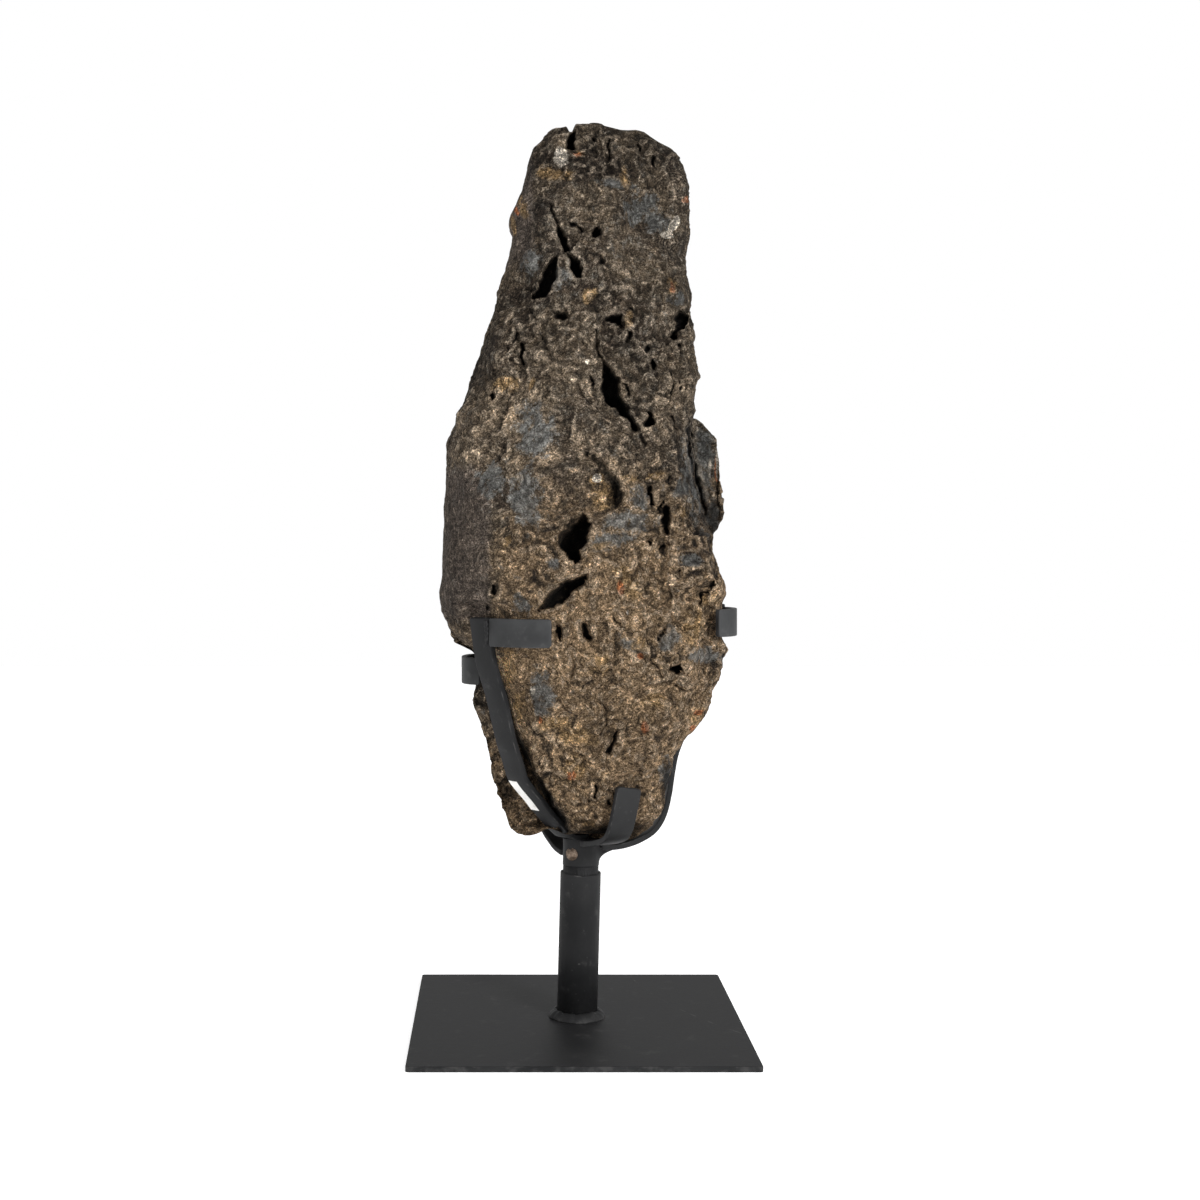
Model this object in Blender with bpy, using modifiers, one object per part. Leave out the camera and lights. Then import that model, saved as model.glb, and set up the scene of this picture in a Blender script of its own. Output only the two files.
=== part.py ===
"""Tall agate boulder, rough in front and polished behind, in a flat-bar cradle on a square steel base.

Metres, +Z up. The origin is the middle of the base plate's underside. The rough side of the stone
looks along -Y and the polished cut looks along +Y.
"""
import math

import bmesh
import bpy
import numpy as np
from mathutils import Vector

MM = 0.001
GAP = 0.3 * MM

# Base plate, and the post that leans a little to the right
PLATE_SIDE = 305 * MM
PLATE_THICK = 5 * MM
PLATE_CORNER = 3 * MM
POST_OUTER = 19 * MM
POST_INNER = 17 * MM
POST_TOP = 141.4 * MM
POST_FOOT_X = 0.3 * MM
POST_LEAN = math.radians(1.44)
WELD_REACH = 8 * MM
BEAD_SIDE = 0.85
BEAD_TOP = 0.9

# Round bar in the post, which carries the cradle
STEM_RADIUS = 16.7 * MM
STEM_BOTTOM = 62 * MM
STEM_TOP = 172.5 * MM
STEM_AXIS_X = 4.5 * MM
PLUG_RADIUS = 6 * MM
PLUG_HEIGHT = 160 * MM
PLUG_TURN = math.radians(236)
PLUG_DEPTH = 3 * MM
PLUG_STANDS = 1 * MM
WELD_CORNER_X = 21.7 * MM
WELD_CORNER_Z = 162.1 * MM
WELD_LEG = 14 * MM
WELD_WIDTH = 18 * MM

# Flat bar of the cradle: one inch by three sixteenths
BAR_WIDTH = 25 * MM
BAR_THICK = 5 * MM
TIP_CORNER = 2 * MM
STONE_AIR = 0.8 * MM
STONE_CLEAR = 2 * MM
STONE_PRESS = 14 * MM
SADDLE_TOP = 210 * MM
PRESS_PAST_END = 1.3
ROOM_OUTSIDE = 12 * MM
STONE_MIDDLE = (5 * MM, -25 * MM, 400 * MM)

# Cradle routes in millimetres: (radius from the stem, height) in an upright plane, or (x, y) at one height
LEFT_OUT = (-0.755, -0.656)
LEFT_CROSS = (0.656, -0.755, 0)
LEFT_ARM = ((1, 176), (17, 176.5), (27.6, 183), (47.7, 202), (58.8, 214), (78.4, 234.4), (86.3, 253),
            (94, 272), (104.8, 309), (117.7, 345), (124.7, 383.5))
LEFT_BAND_Z = 371
LEFT_BAND = ((-80.2, -91.6), (-72, -101), (-60, -110.5), (-44, -116), (-27, -118.5))
RIGHT_ARM_Y = 2
RIGHT_ARM = ((21.8, 165), (32.7, 165), (44.8, 166.3), (58.9, 170.1), (72.9, 177.5), (80.4, 186), (85.5, 199),
             (88.2, 217), (89.4, 236), (93.4, 255), (103.5, 280), (113, 303), (122, 330), (130, 355),
             (134.5, 375), (136, 393))
RIGHT_HOOK_Z = 380
RIGHT_HOOK = ((137, -10.9), (140.5, -20), (143, -34), (141, -50), (134.5, -63), (123, -73))
FRONT_OUT = (0.451, -0.893)
FRONT_CROSS = (0.893, 0.451, 0)
FRONT_CLIP = ((17.3, 171), (34, 173.5), (55, 178), (72, 183.5), (81.5, 190.5), (84.5, 201), (85.6, 216),
              (86, 231))
REAR_ARM = ((-6.6, 13.4, 156.5), (-11.5, 19.3, 157.6), (-17.9, 27, 160), (-22.6, 32.6, 163.4),
            (-26.3, 36.8, 168), (-30, 39.6, 178), (-33, 38.6, 200), (-36, 38, 240), (-40, 38.7, 290),
            (-44, 39.6, 345))
REAR_CROSS_LOW = (0.77, 0.64, 0)
REAR_TWIST_FROM = 157 * MM
REAR_TWIST_TO = 217 * MM
LEFT_HOOK_Z = 331
LEFT_HOOK = ((-56.6, 39.8), (-72, 39.8), (-86, 39.6), (-98, 35), (-104, 22), (-105.8, 6), (-104, -9),
             (-98.5, -19), (-90, -24))

# Blank strip of paper across the outer face of the left arm
LABEL_THICK = 0.3 * MM
LABEL_FROM = 208 * MM
LABEL_TO = 236 * MM

# Polished cut: a plane that leans back a little towards its top
CUT_LOW_Z = 200 * MM
CUT_LOW_Y = 34 * MM
CUT_HIGH_Z = 838 * MM
CUT_HIGH_Y = 43 * MM

# Stone: the edges of the rough side as (height, place) in millimetres, from the foot up
LEFT_EDGE = ((170, -47), (172, -56), (180, -62), (203, -71), (222, -76), (246, -82), (268, -87),
             (296, -94), (322, -98), (339, -102), (357, -111), (378, -120), (386, -125), (404, -127),
             (448, -125), (523, -124), (542, -122), (568, -113), (591, -104), (622, -95), (659, -81),
             (697, -71), (720, -65), (739, -62), (745, -65), (754, -64), (779, -53), (810, -45),
             (820, -42), (828, -34), (835, -30), (838, -27), (839.5, -12), (841, 3), (843, 7), (846, 14))
RIGHT_EDGE = ((170, -44), (172, -36), (176, -29), (181, -14), (183, 32), (186, 54), (192, 68),
              (202, 78), (211, 82), (237, 84), (254, 86), (262, 94), (280, 109), (303, 121), (314, 121),
              (328, 129), (352, 137), (379, 138), (398, 136), (425, 130), (456, 123), (480, 115),
              (508, 108), (546, 104), (569, 104), (594, 110), (604, 114), (615, 110), (691, 106),
              (715, 101), (731, 104), (784, 107), (806, 101), (821, 88), (827, 75), (838, 60),
              (840, 33), (843, 24), (846, 16))
LEFT_EDGE_Y = ((170, 5), (200, -6), (400, -12), (600, -5), (800, 0), (838, 6), (846, 12))
RIGHT_EDGE_Y = ((170, 5), (184, 4), (190, -12), (203, -28), (231, -35), (400, -35), (460, -30),
                (600, -15), (800, 0), (838, 6), (846, 12))
CREST_X = ((170, -46), (176, -42), (181, -36), (183, 6), (192, 24), (250, 10), (300, 0), (400, -10),
           (500, -4), (600, 4), (700, 18), (800, 20), (838, 16), (846, 15))
CREST_Y = ((170, 2), (176, -7), (181, -14), (183, -28), (186, -42), (192, -53), (202, -62),
           (215, -67), (231, -72), (250, -81), (275, -92), (300, -100), (330, -107), (370, -113), (400, -112),
           (500, -100), (600, -85), (700, -70), (780, -60), (812, -51), (828, -39), (836, -28), (842, -14),
           (845, 1), (846, 8))
BULGE_X = ((170, -50), (181, -44), (185, -26), (195, -26), (214, -31), (234, -37), (253, -43),
           (272, -53), (290, -61), (309, -65), (345, -75), (370, -80))
BULGE_Y = ((170, 3), (181, -5), (188, -14), (200, -28), (214, -38), (240, -45), (370, -45))
BULGE_LOW = 335 * MM
BULGE_HIGH = 370 * MM
RIM_Y_FOOT = ((170, 9), (178, 17), (188, 26), (200, 34))
RIM_Y_HEAD = ((838, 43), (843, 36), (846, 16))
LEFT_INSET = ((170, 1), (180, 4), (200, 8), (836, 10), (841, 4), (846, 1))
RIGHT_INSET = ((170, 1), (186, 5), (195, 20), (230, 30), (420, 34), (600, 26), (820, 22), (838, 12), (846, 1))

# Fin: a thin plate of the polished side that stands out at the right behind a deep crack
FIN_EDGE = ((456, 130), (472, 140), (480, 142), (496, 141), (529, 137), (547, 136), (565, 122), (571, 113))
FIN_FRONT_Y = 16 * MM
FIN_CRACK_IN = 9 * MM
FIN_CRACK_Y = 12 * MM
FIN_STEP = 4 * MM
FIN_TAPER = 1.25 * MM

# How the stone's outline is drawn at one height, and how it is divided into faces
ROUNDNESS = 2.15
BEVEL_BEND = 0.7
SIDE_STEPS = 12
RECESS_STEPS = 16
FRONT_STEPS = 90
BEVEL_STEPS = 10
DEPTH_COUNTS = 0.6
ROUGH_COLUMNS = 41
CUT_COLUMNS = 5
FOOT_ROWS = (171, 173.5, 177, 180, 182, 184, 187, 190.5, 195)
BODY_ROWS = 50
HEAD_ROWS = (838.5, 840.5, 843, 845)
FIN_ROWS = (454, 461, 566, 574)
FOOT_POLE = (-46, 7, 170)
HEAD_POLE = (15, 12, 846)
LUMPS = ((62 * MM, 12 * MM, 3), (31 * MM, 9 * MM, 5))
RIM_EASE = 0.06
END_EASE = 45 * MM
SIDE_LIFT = 0.15

# Broad hollows of the front: (x, z, half width, half height, depth, tilt in degrees), millimetres
BOWL_EDGE = 1.4
BOWLS = ((-9, 503, 50, 40, 11, -20), (92, 395, 20, 26, 4, 0), (20, 655, 30, 26, 4, 15))

# Caves and slots of the front: depth, then the outline of the mouth as (x, z), millimetres
CAVES = ((22, ((-20, 711), (-21, 692), (-30, 674), (-45, 670), (-38, 684), (-28, 703))),
         (22, ((-20, 743), (-11, 725), (-9, 715), (-14, 714), (-18, 728))),
         (24, ((-12, 713), (-3, 709), (3, 699), (3, 689), (-4, 689), (-8, 700))),
         (12, ((10, 732), (15, 735), (20, 736), (20, 730), (15, 726), (10, 726))),
         (12, ((-24, 653), (-20, 659), (-13, 660), (-8, 650), (-18, 648))),
         (14, ((23, 652), (33, 662), (40, 650), (36, 642), (30, 648))),
         (18, ((88, 657), (92, 661), (97, 653), (90, 638), (83, 633), (85, 645))),
         (12, ((-54, 632), (-49, 632), (-49, 612), (-52, 608), (-54, 613))),
         (26, ((21, 616), (29, 603), (35, 602), (35, 584), (40, 571), (45, 559), (40, 560), (27, 572),
               (19, 586), (21, 599))),
         (20, ((59, 567), (64, 570), (66, 565), (65, 553), (56, 552), (57, 560))),
         (34, ((2, 479), (9, 467), (4, 453), (-3, 439), (-7, 432), (-15, 439), (-23, 451), (-22, 456))),
         (18, ((-41, 389), (-26, 394), (-14, 403), (-3, 413), (9, 422), (-7, 420), (-24, 409), (-35, 398))),
         (14, ((59, 501), (63, 502), (66, 483), (61, 483))),
         (12, ((74, 489), (74, 486), (69, 474), (65, 474), (68, 483))),
         (16, ((77, 486), (81, 484), (80, 476), (76, 456), (73, 455), (70, 472))),
         (12, ((80, 344), (88, 343), (90, 337), (84, 334), (78, 338))),
         (10, ((0, 381), (5, 379), (9, 365), (3, 364))),
         (9, ((31, 285), (35, 282), (25, 262), (20, 264))))
CAVE_NARROWS = 0.45
CAVE_FORWARD = 32 * MM


def new_material(name, colour, roughness, metallic):
    """A plain surface with one colour."""
    material = bpy.data.materials.new(name)
    material.use_nodes = True
    shader = material.node_tree.nodes["Principled BSDF"]
    shader.inputs["Base Color"].default_value = (*colour, 1)
    shader.inputs["Roughness"].default_value = roughness
    shader.inputs["Metallic"].default_value = metallic
    return material


def new_object(name, mesh, material, collection):
    """An object of that mesh, in that collection."""
    thing = bpy.data.objects.new(name, mesh)
    collection.objects.link(thing)
    if material:
        mesh.materials.append(material)
    return thing


def mesh_from(name, work):
    """Turn a bmesh into mesh data and free it."""
    mesh = bpy.data.meshes.new(name)
    work.to_mesh(mesh)
    work.free()
    return mesh


def as_cutter(thing):
    """Mark an object as a guide that cuts and isn't part of the model."""
    thing.hide_render = True
    thing.display_type = "WIRE"
    return thing


def cut_from(thing, cutter, crossing=False):
    """Take the cutter's volume out of an object; crossing is for a cutter whose own shells meet."""
    cut = thing.modifiers.new(cutter.name, "BOOLEAN")
    cut.operation = "DIFFERENCE"
    cut.solver = "EXACT"
    cut.use_self = crossing
    cut.object = cutter


# Stone


def along(table, z):
    """Read a (height, place) table in millimetres at heights z in metres."""
    heights, places = np.array(table, float).T * MM
    return np.interp(z, heights, places)[:, None]


def cut_plane_y(z):
    """How far back the polished cut lies at height z."""
    return CUT_LOW_Y + (z - CUT_LOW_Z) * (CUT_HIGH_Y - CUT_LOW_Y) / (CUT_HIGH_Z - CUT_LOW_Z)


def rim_y(z):
    """The rim follows the polished plane and rounds off at the foot and the head."""
    plane = cut_plane_y(z)[:, None]
    low = z[:, None] < CUT_LOW_Z
    high = z[:, None] > CUT_HIGH_Z
    return np.where(low, along(RIM_Y_FOOT, z), np.where(high, along(RIM_Y_HEAD, z), plane))


def smooth(value):
    """Ease from 0 to 1 without a kink."""
    value = np.clip(value, 0, 1)
    return value * value * (3 - 2 * value)


def front_outline(z):
    """Half outline at each height: left rim, left edge, recess, superellipse front, fin, right rim."""
    left, right = along(LEFT_EDGE, z), along(RIGHT_EDGE, z)
    left_y, right_y, back = along(LEFT_EDGE_Y, z), along(RIGHT_EDGE_Y, z), rim_y(z)
    crest_x, crest_y = along(CREST_X, z), along(CREST_Y, z)
    stands_free = smooth((BULGE_HIGH - z) / (BULGE_HIGH - BULGE_LOW))[:, None]
    bulge_x = left + (along(BULGE_X, z) - left) * stands_free
    bulge_y = left_y + (along(BULGE_Y, z) - left_y) * stands_free

    t = np.arange(SIDE_STEPS)[None, :] / SIDE_STEPS
    side_x = left + along(LEFT_INSET, z) * (1 - t) ** 2
    side_y = back + (left_y - back) * t

    t = np.arange(RECESS_STEPS)[None, :] / RECESS_STEPS
    recess_x = left * (1 - t) ** 2 + bulge_x * (1 - (1 - t) ** 2)
    recess_y = left_y * (1 - t ** 2) + bulge_y * t ** 2

    angle = np.linspace(math.pi, 0, FRONT_STEPS + 1)[None, :]
    across = np.sign(np.cos(angle)) * np.abs(np.cos(angle)) ** (2 / ROUNDNESS)
    forward = np.abs(np.sin(angle)) ** (2 / ROUNDNESS)
    reach = np.where(across < 0, crest_x - bulge_x, right - crest_x)
    base_y = np.where(across < 0, bulge_y, right_y)
    front_x = crest_x + reach * across
    front_y = base_y + (crest_y - base_y) * forward

    fin_low, fin_high = FIN_EDGE[0][0] * MM, FIN_EDGE[-1][0] * MM
    fin = smooth((z - fin_low + FIN_STEP) / FIN_STEP) * smooth((fin_high + FIN_STEP - z) / FIN_STEP)
    fin = fin[:, None]
    rim_x = right - along(RIGHT_INSET, z)
    fin_x = along(FIN_EDGE, z)
    knots_x = (right, (right + rim_x) / 2, right + (rim_x - right) * BEVEL_BEND, rim_x)
    knots_y = (right_y, (right_y + back) / 2, right_y + (back - right_y) * BEVEL_BEND, back)
    fin_knots_x = (right, right - FIN_CRACK_IN, fin_x, fin_x - FIN_TAPER)
    fin_knots_y = (right_y, back * 0 + FIN_CRACK_Y, back * 0 + FIN_FRONT_Y, back)
    bevel_x, bevel_y = [], []
    for first in range(3):
        t = np.arange(1, BEVEL_STEPS + 1)[None, :] / BEVEL_STEPS
        for knots, fin_knots, out in ((knots_x, fin_knots_x, bevel_x), (knots_y, fin_knots_y, bevel_y)):
            here = knots[first] + (fin_knots[first] - knots[first]) * fin
            there = knots[first + 1] + (fin_knots[first + 1] - knots[first + 1]) * fin
            out.append(here + (there - here) * t)
    x = np.hstack([side_x, recess_x, front_x, *bevel_x])
    y = np.hstack([side_y, recess_y, front_y, *bevel_y])
    return x, y


def spread_evenly(x, y, count):
    """Resample each row of an outline at equal steps of its length, depth counting less than width."""
    step = np.hypot(np.diff(x, axis=1), DEPTH_COUNTS * np.diff(y, axis=1)) + 1e-9
    run = np.hstack([np.zeros((len(x), 1)), np.cumsum(step, axis=1)])
    run /= run[:, -1:]
    row = 2 * np.arange(len(x))[:, None]
    wanted = (row + np.linspace(0, 1, count)[None, :]).ravel()
    knots = (row + run).ravel()
    return (np.interp(wanted, knots, x.ravel()).reshape(-1, count),
            np.interp(wanted, knots, y.ravel()).reshape(-1, count))


def lattice_noise(points, pitch, seed):
    """Value noise from -1 to 1: random values on a cubic lattice, blended smoothly between its corners."""
    lattice = np.random.default_rng(seed).uniform(-1, 1, (16, 16, 16))
    cell = np.floor(points / pitch).astype(int)
    blend = smooth(points / pitch - cell)
    total = 0
    for corner in np.ndindex(2, 2, 2):
        weight = np.prod(np.where(np.array(corner) == 1, blend, 1 - blend), axis=-1)
        index = (cell + corner) % 16
        total = total + weight * lattice[index[..., 0], index[..., 1], index[..., 2]]
    return total


def surface_normals(grid):
    """Outward directions of a grid of points whose rows rise and whose columns run to the right."""
    across = np.gradient(grid, axis=1)
    up = np.gradient(grid, axis=0)
    normal = np.cross(across, up)
    return normal / np.maximum(np.linalg.norm(normal, axis=2, keepdims=True), 1e-12)


def bowl_depth(points):
    """Depth of the broad hollows at each point of the front."""
    depth = 0
    for x, z, half_width, half_height, deep, tilt in BOWLS:
        turn = math.radians(tilt)
        side = points[..., 0] / MM - x
        rise = points[..., 2] / MM - z
        across = (side * math.cos(turn) + rise * math.sin(turn)) / half_width
        upward = (rise * math.cos(turn) - side * math.sin(turn)) / half_height
        depth = depth + deep * MM * smooth(BOWL_EDGE * (1 - across ** 2 - upward ** 2))
    return depth


def stone_mesh(routes):
    """Close the rough grid, the flat cut and the two poles into one skin, clear of the cradle."""
    body = np.linspace(CUT_LOW_Z, CUT_HIGH_Z, BODY_ROWS)
    z = np.sort(np.hstack([np.array(FOOT_ROWS + HEAD_ROWS + FIN_ROWS) * MM, body]))
    x, y = spread_evenly(*front_outline(z), ROUGH_COLUMNS)
    rough = np.dstack([x, y, np.broadcast_to(z[:, None], x.shape)])
    normal = surface_normals(rough)
    along_row = np.linspace(0, 1, ROUGH_COLUMNS)[None, :]
    from_end = np.minimum(z - FOOT_POLE[2] * MM, HEAD_POLE[2] * MM - z)[:, None]
    ease = smooth(np.minimum(along_row, 1 - along_row) / RIM_EASE) * smooth(from_end / END_EASE)
    facing = SIDE_LIFT + (1 - SIDE_LIFT) * np.abs(normal[..., 1])
    lift = sum(height * lattice_noise(rough, pitch, seed) for pitch, height, seed in LUMPS)
    lift = lift * ease * facing - bowl_depth(rough) * (normal[..., 1] < 0)
    rim_depth = rough[:, (0, -1), 1]
    rough = keep_inside(rough + normal * lift[..., None], routes)
    rough[:, (0, -1), 1] = rim_depth

    t = np.linspace(0, 1, CUT_COLUMNS + 2)[None, 1:-1, None]
    cut = rough[:, -1:, :] + (rough[:, :1, :] - rough[:, -1:, :]) * t
    rings = np.concatenate([rough, cut], axis=1)
    rows, columns = rings.shape[:2]

    work = bmesh.new()
    verts = [[work.verts.new(point) for point in ring] for ring in rings]
    foot = work.verts.new(Vector(FOOT_POLE) * MM)
    head = work.verts.new(Vector(HEAD_POLE) * MM)
    for column in range(columns):
        following = (column + 1) % columns
        work.faces.new((foot, verts[0][following], verts[0][column]))
        work.faces.new((head, verts[-1][column], verts[-1][following]))
        for row in range(rows - 1):
            low, high = verts[row], verts[row + 1]
            work.faces.new((low[column], low[following], high[following], high[column]))
    bmesh.ops.triangulate(work, faces=work.faces)
    return mesh_from("agate_stone", work)


def front_surface_y(x, z):
    """Depth of the smooth front at one place, before the lumps."""
    outline_x, outline_y = front_outline(np.array([z]))
    first = SIDE_STEPS + RECESS_STEPS
    front = slice(first, first + FRONT_STEPS + 1)
    return np.interp(x, outline_x[0, front], outline_y[0, front])


def cave_cutters(collection):
    """One mesh of plugs driven straight back into the front of the stone, tapered past its surface."""
    work = bmesh.new()
    for depth, mouth in CAVES:
        mouth = np.array(mouth) * MM
        middle = mouth.mean(axis=0)
        surface_y = front_surface_y(*middle)
        rings = []
        for y, scale in ((-CAVE_FORWARD, 1), (0, 1), (depth * MM, CAVE_NARROWS)):
            ring = middle + (mouth - middle) * scale
            rings.append([work.verts.new((x, surface_y + y, z)) for x, z in ring])
        work.faces.new(rings[0])
        work.faces.new(rings[-1][::-1])
        for near, far in zip(rings, rings[1:]):
            for first in range(len(mouth)):
                second = (first + 1) % len(mouth)
                work.faces.new((near[first], far[first], far[second], near[second]))
    bmesh.ops.recalc_face_normals(work, faces=work.faces)
    return as_cutter(new_object("caves", mesh_from("caves", work), None, collection))


# Flat bars


def outward_of(path, cross):
    """Directions square to a bar's face, on the side away from the stone's middle."""
    out = np.cross(np.gradient(path, axis=0), cross)
    out /= np.linalg.norm(out, axis=1, keepdims=True)
    side = np.sum(out * (path - np.array(STONE_MIDDLE)), axis=1, keepdims=True)
    return out * np.sign(side)


def keep_inside(points, routes):
    """Squeeze the last STONE_PRESS before each bar's inner face, so that STONE_CLEAR is left to the bar.

    The squeeze never swaps two points along one line, and it fades out beside the bar and past its ends.
    """
    room = STONE_PRESS - STONE_CLEAR
    for path, cross in routes.values():
        out = outward_of(path, cross)
        cross = np.broadcast_to(np.array(cross, float), path.shape)
        nearest = np.argmin(np.linalg.norm(points[..., None, :] - path, axis=-1), axis=-1)
        away = points - path[nearest]
        beyond = np.sum(away * out[nearest], axis=-1) + BAR_THICK / 2
        sideways = np.abs(np.sum(away * cross[nearest], axis=-1))
        past_end = np.abs(np.sum(away * np.cross(out, cross)[nearest], axis=-1))
        squeezed = room * (1 - np.exp(-(beyond + STONE_PRESS) / room)) - STONE_PRESS
        share = smooth(1 - (sideways - BAR_WIDTH / 2) / STONE_PRESS)
        share = share * smooth(PRESS_PAST_END - past_end / STONE_PRESS)
        share = share * smooth((points[..., 2] - SADDLE_TOP) / STONE_PRESS)
        shift = np.where((beyond > -STONE_PRESS) & (beyond < 2 * BAR_WIDTH), beyond - squeezed, 0) * share
        points = points - out[nearest] * shift[..., None]
    return points


def smooth_path(points, spans=5):
    """A Catmull-Rom curve through the points, with that many steps between two of them."""
    points = np.array(points, float)
    padded = np.vstack([2 * points[0] - points[1], points, 2 * points[-1] - points[-2]])
    t = np.linspace(0, 1, spans, endpoint=False)[:, None]
    pieces = []
    for a, b, c, d in zip(padded, padded[1:], padded[2:], padded[3:]):
        pieces.append(0.5 * (2 * b + (c - a) * t + (2 * a - 5 * b + 4 * c - d) * t ** 2
                             + (3 * b - a - 3 * c + d) * t ** 3))
    return np.vstack([*pieces, points[-1:]])


def bar_mesh(name, path, cross, width, blunt_start, blunt_end):
    """A ribbon along the path; cross is the direction of its width, and a blunt end keeps its corners."""
    half = np.full(len(path), width / 2)
    if not blunt_start:
        half[0] -= TIP_CORNER
    if not blunt_end:
        half[-1] -= TIP_CORNER
    cross = np.broadcast_to(np.array(cross, float), path.shape)
    work = bmesh.new()
    rails = [[work.verts.new(point) for point in path + side * half[:, None] * cross] for side in (-1, 1)]
    for step in range(len(path) - 1):
        work.faces.new((rails[0][step], rails[0][step + 1], rails[1][step + 1], rails[1][step]))
    return mesh_from(name, work)


def thicken(thing, thickness):
    """Give a ribbon its thickness, half on each side."""
    wall = thing.modifiers.new("thickness", "SOLIDIFY")
    wall.thickness = thickness
    wall.offset = 0
    wall.use_even_offset = True


def flat_bar(name, path, cross, material, stand, cutters, stone, blunt_start=True, blunt_end=False):
    """A length of flat bar, and a fuller copy, deeper on its outer side, that keeps the stone clear of it."""
    mesh = bar_mesh(name, path, cross, BAR_WIDTH, blunt_start, blunt_end)
    bar = new_object(name, mesh, material, stand)
    thicken(bar, BAR_THICK)
    room_path = path + outward_of(path, cross) * ROOM_OUTSIDE / 2
    room_mesh = bar_mesh(name + "_room", room_path, cross, BAR_WIDTH + 2 * STONE_AIR, True, True)
    room = as_cutter(new_object(name + "_room", room_mesh, None, cutters))
    thicken(room, BAR_THICK + 2 * STONE_AIR + ROOM_OUTSIDE)
    cut_from(stone, room)
    return bar


def level_path(points, height):
    """A route of (x, y) points in millimetres at one height."""
    return smooth_path([(x * MM, y * MM, height * MM) for x, y in points])


def radial_path(profile, direction):
    """Points (radius, height) in millimetres in the upright plane that leaves the stem in a direction."""
    profile = np.array(profile, float) * MM
    x = STEM_AXIS_X + profile[:, 0] * direction[0]
    y = profile[:, 0] * direction[1]
    return smooth_path(np.column_stack([x, y, profile[:, 1]]))


# Base and post


def base_plate(material, stand):
    """Square plate with its upright corners rounded."""
    work = bmesh.new()
    bmesh.ops.create_cube(work, size=1)
    bmesh.ops.scale(work, vec=(PLATE_SIDE, PLATE_SIDE, PLATE_THICK), verts=work.verts)
    bmesh.ops.translate(work, vec=(0, 0, PLATE_THICK / 2), verts=work.verts)
    upright = [edge for edge in work.edges if abs(edge.verts[0].co.z - edge.verts[1].co.z) > PLATE_THICK / 2]
    bmesh.ops.bevel(work, geom=upright, offset=PLATE_CORNER, segments=3, profile=0.5, affect="EDGES")
    new_object("base_plate", mesh_from("base_plate", work), material, stand)


def turned(name, profile, material, stand, steps=40):
    """Turn a closed profile of (radius, height) points, outer side first and downwards, into a ring."""
    work = bmesh.new()
    verts = [work.verts.new((radius, 0, height)) for radius, height in profile]
    for first, second in zip(verts, verts[1:] + verts[:1]):
        work.edges.new((first, second))
    ring = new_object(name, mesh_from(name, work), material, stand)
    screw = ring.modifiers.new("turn", "SCREW")
    screw.steps = steps
    screw.render_steps = steps
    screw.use_merge_vertices = True
    screw.merge_threshold = 0.00005
    return ring


def post(material, weld_material, stand):
    """Tube that leans to the right, with its weld to the plate."""
    lift = POST_OUTER * math.sin(POST_LEAN) + GAP
    foot, length = PLATE_THICK + lift, POST_TOP - PLATE_THICK - lift
    tube = turned("post_tube", ((POST_OUTER, length), (POST_OUTER, 0), (POST_INNER, 0), (POST_INNER, length)),
                  material, stand)
    tube.location = (POST_FOOT_X, 0, foot)
    tube.rotation_euler = (0, POST_LEAN, 0)
    inner = POST_OUTER + 2 * GAP
    bead = [(inner, WELD_REACH)]
    for step in range(1, 5):
        turn = step * math.pi / 10
        across, up = BEAD_SIDE * math.sin(turn), BEAD_TOP * math.cos(turn)
        bead.append((inner + WELD_REACH * across, WELD_REACH * up))
    bead += [(inner + WELD_REACH, 0), (inner, 0)]
    weld = turned("post_weld", bead, weld_material, stand, 24)
    weld.location = (POST_FOOT_X, 0, PLATE_THICK + GAP)


def stem(material, plug_material, stand, cutters):
    """Round bar that drops into the post, with the bare plug let into its left front."""
    length = STEM_TOP - STEM_BOTTOM
    work = bmesh.new()
    bmesh.ops.create_cone(work, cap_ends=True, segments=40, radius1=STEM_RADIUS, radius2=STEM_RADIUS,
                          depth=length)
    bar = new_object("cradle_stem", mesh_from("cradle_stem", work), material, stand)
    middle = (STEM_TOP + STEM_BOTTOM) / 2
    bar.location = (POST_FOOT_X + middle * math.tan(POST_LEAN), 0, middle)
    bar.rotation_euler = (0, POST_LEAN, 0)
    outward = Vector((math.cos(PLUG_TURN), math.sin(PLUG_TURN), 0))
    face = Vector((POST_FOOT_X + PLUG_HEIGHT * math.tan(POST_LEAN), 0, PLUG_HEIGHT)) + outward * STEM_RADIUS
    for name, radius, inside, outside in (("plug_hole", PLUG_RADIUS + GAP, PLUG_DEPTH + GAP, PLUG_DEPTH),
                                          ("stem_plug", PLUG_RADIUS, PLUG_DEPTH, PLUG_STANDS)):
        work = bmesh.new()
        bmesh.ops.create_cone(work, cap_ends=True, segments=20, radius1=radius, radius2=radius,
                              depth=inside + outside)
        hole = name == "plug_hole"
        home = cutters if hole else stand
        disc = new_object(name, mesh_from(name, work), None if hole else plug_material, home)
        disc.rotation_euler = outward.to_track_quat("Z", "Y").to_euler()
        disc.location = face + outward * (outside - inside) / 2
        if hole:
            cut_from(bar, as_cutter(disc))


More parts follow.
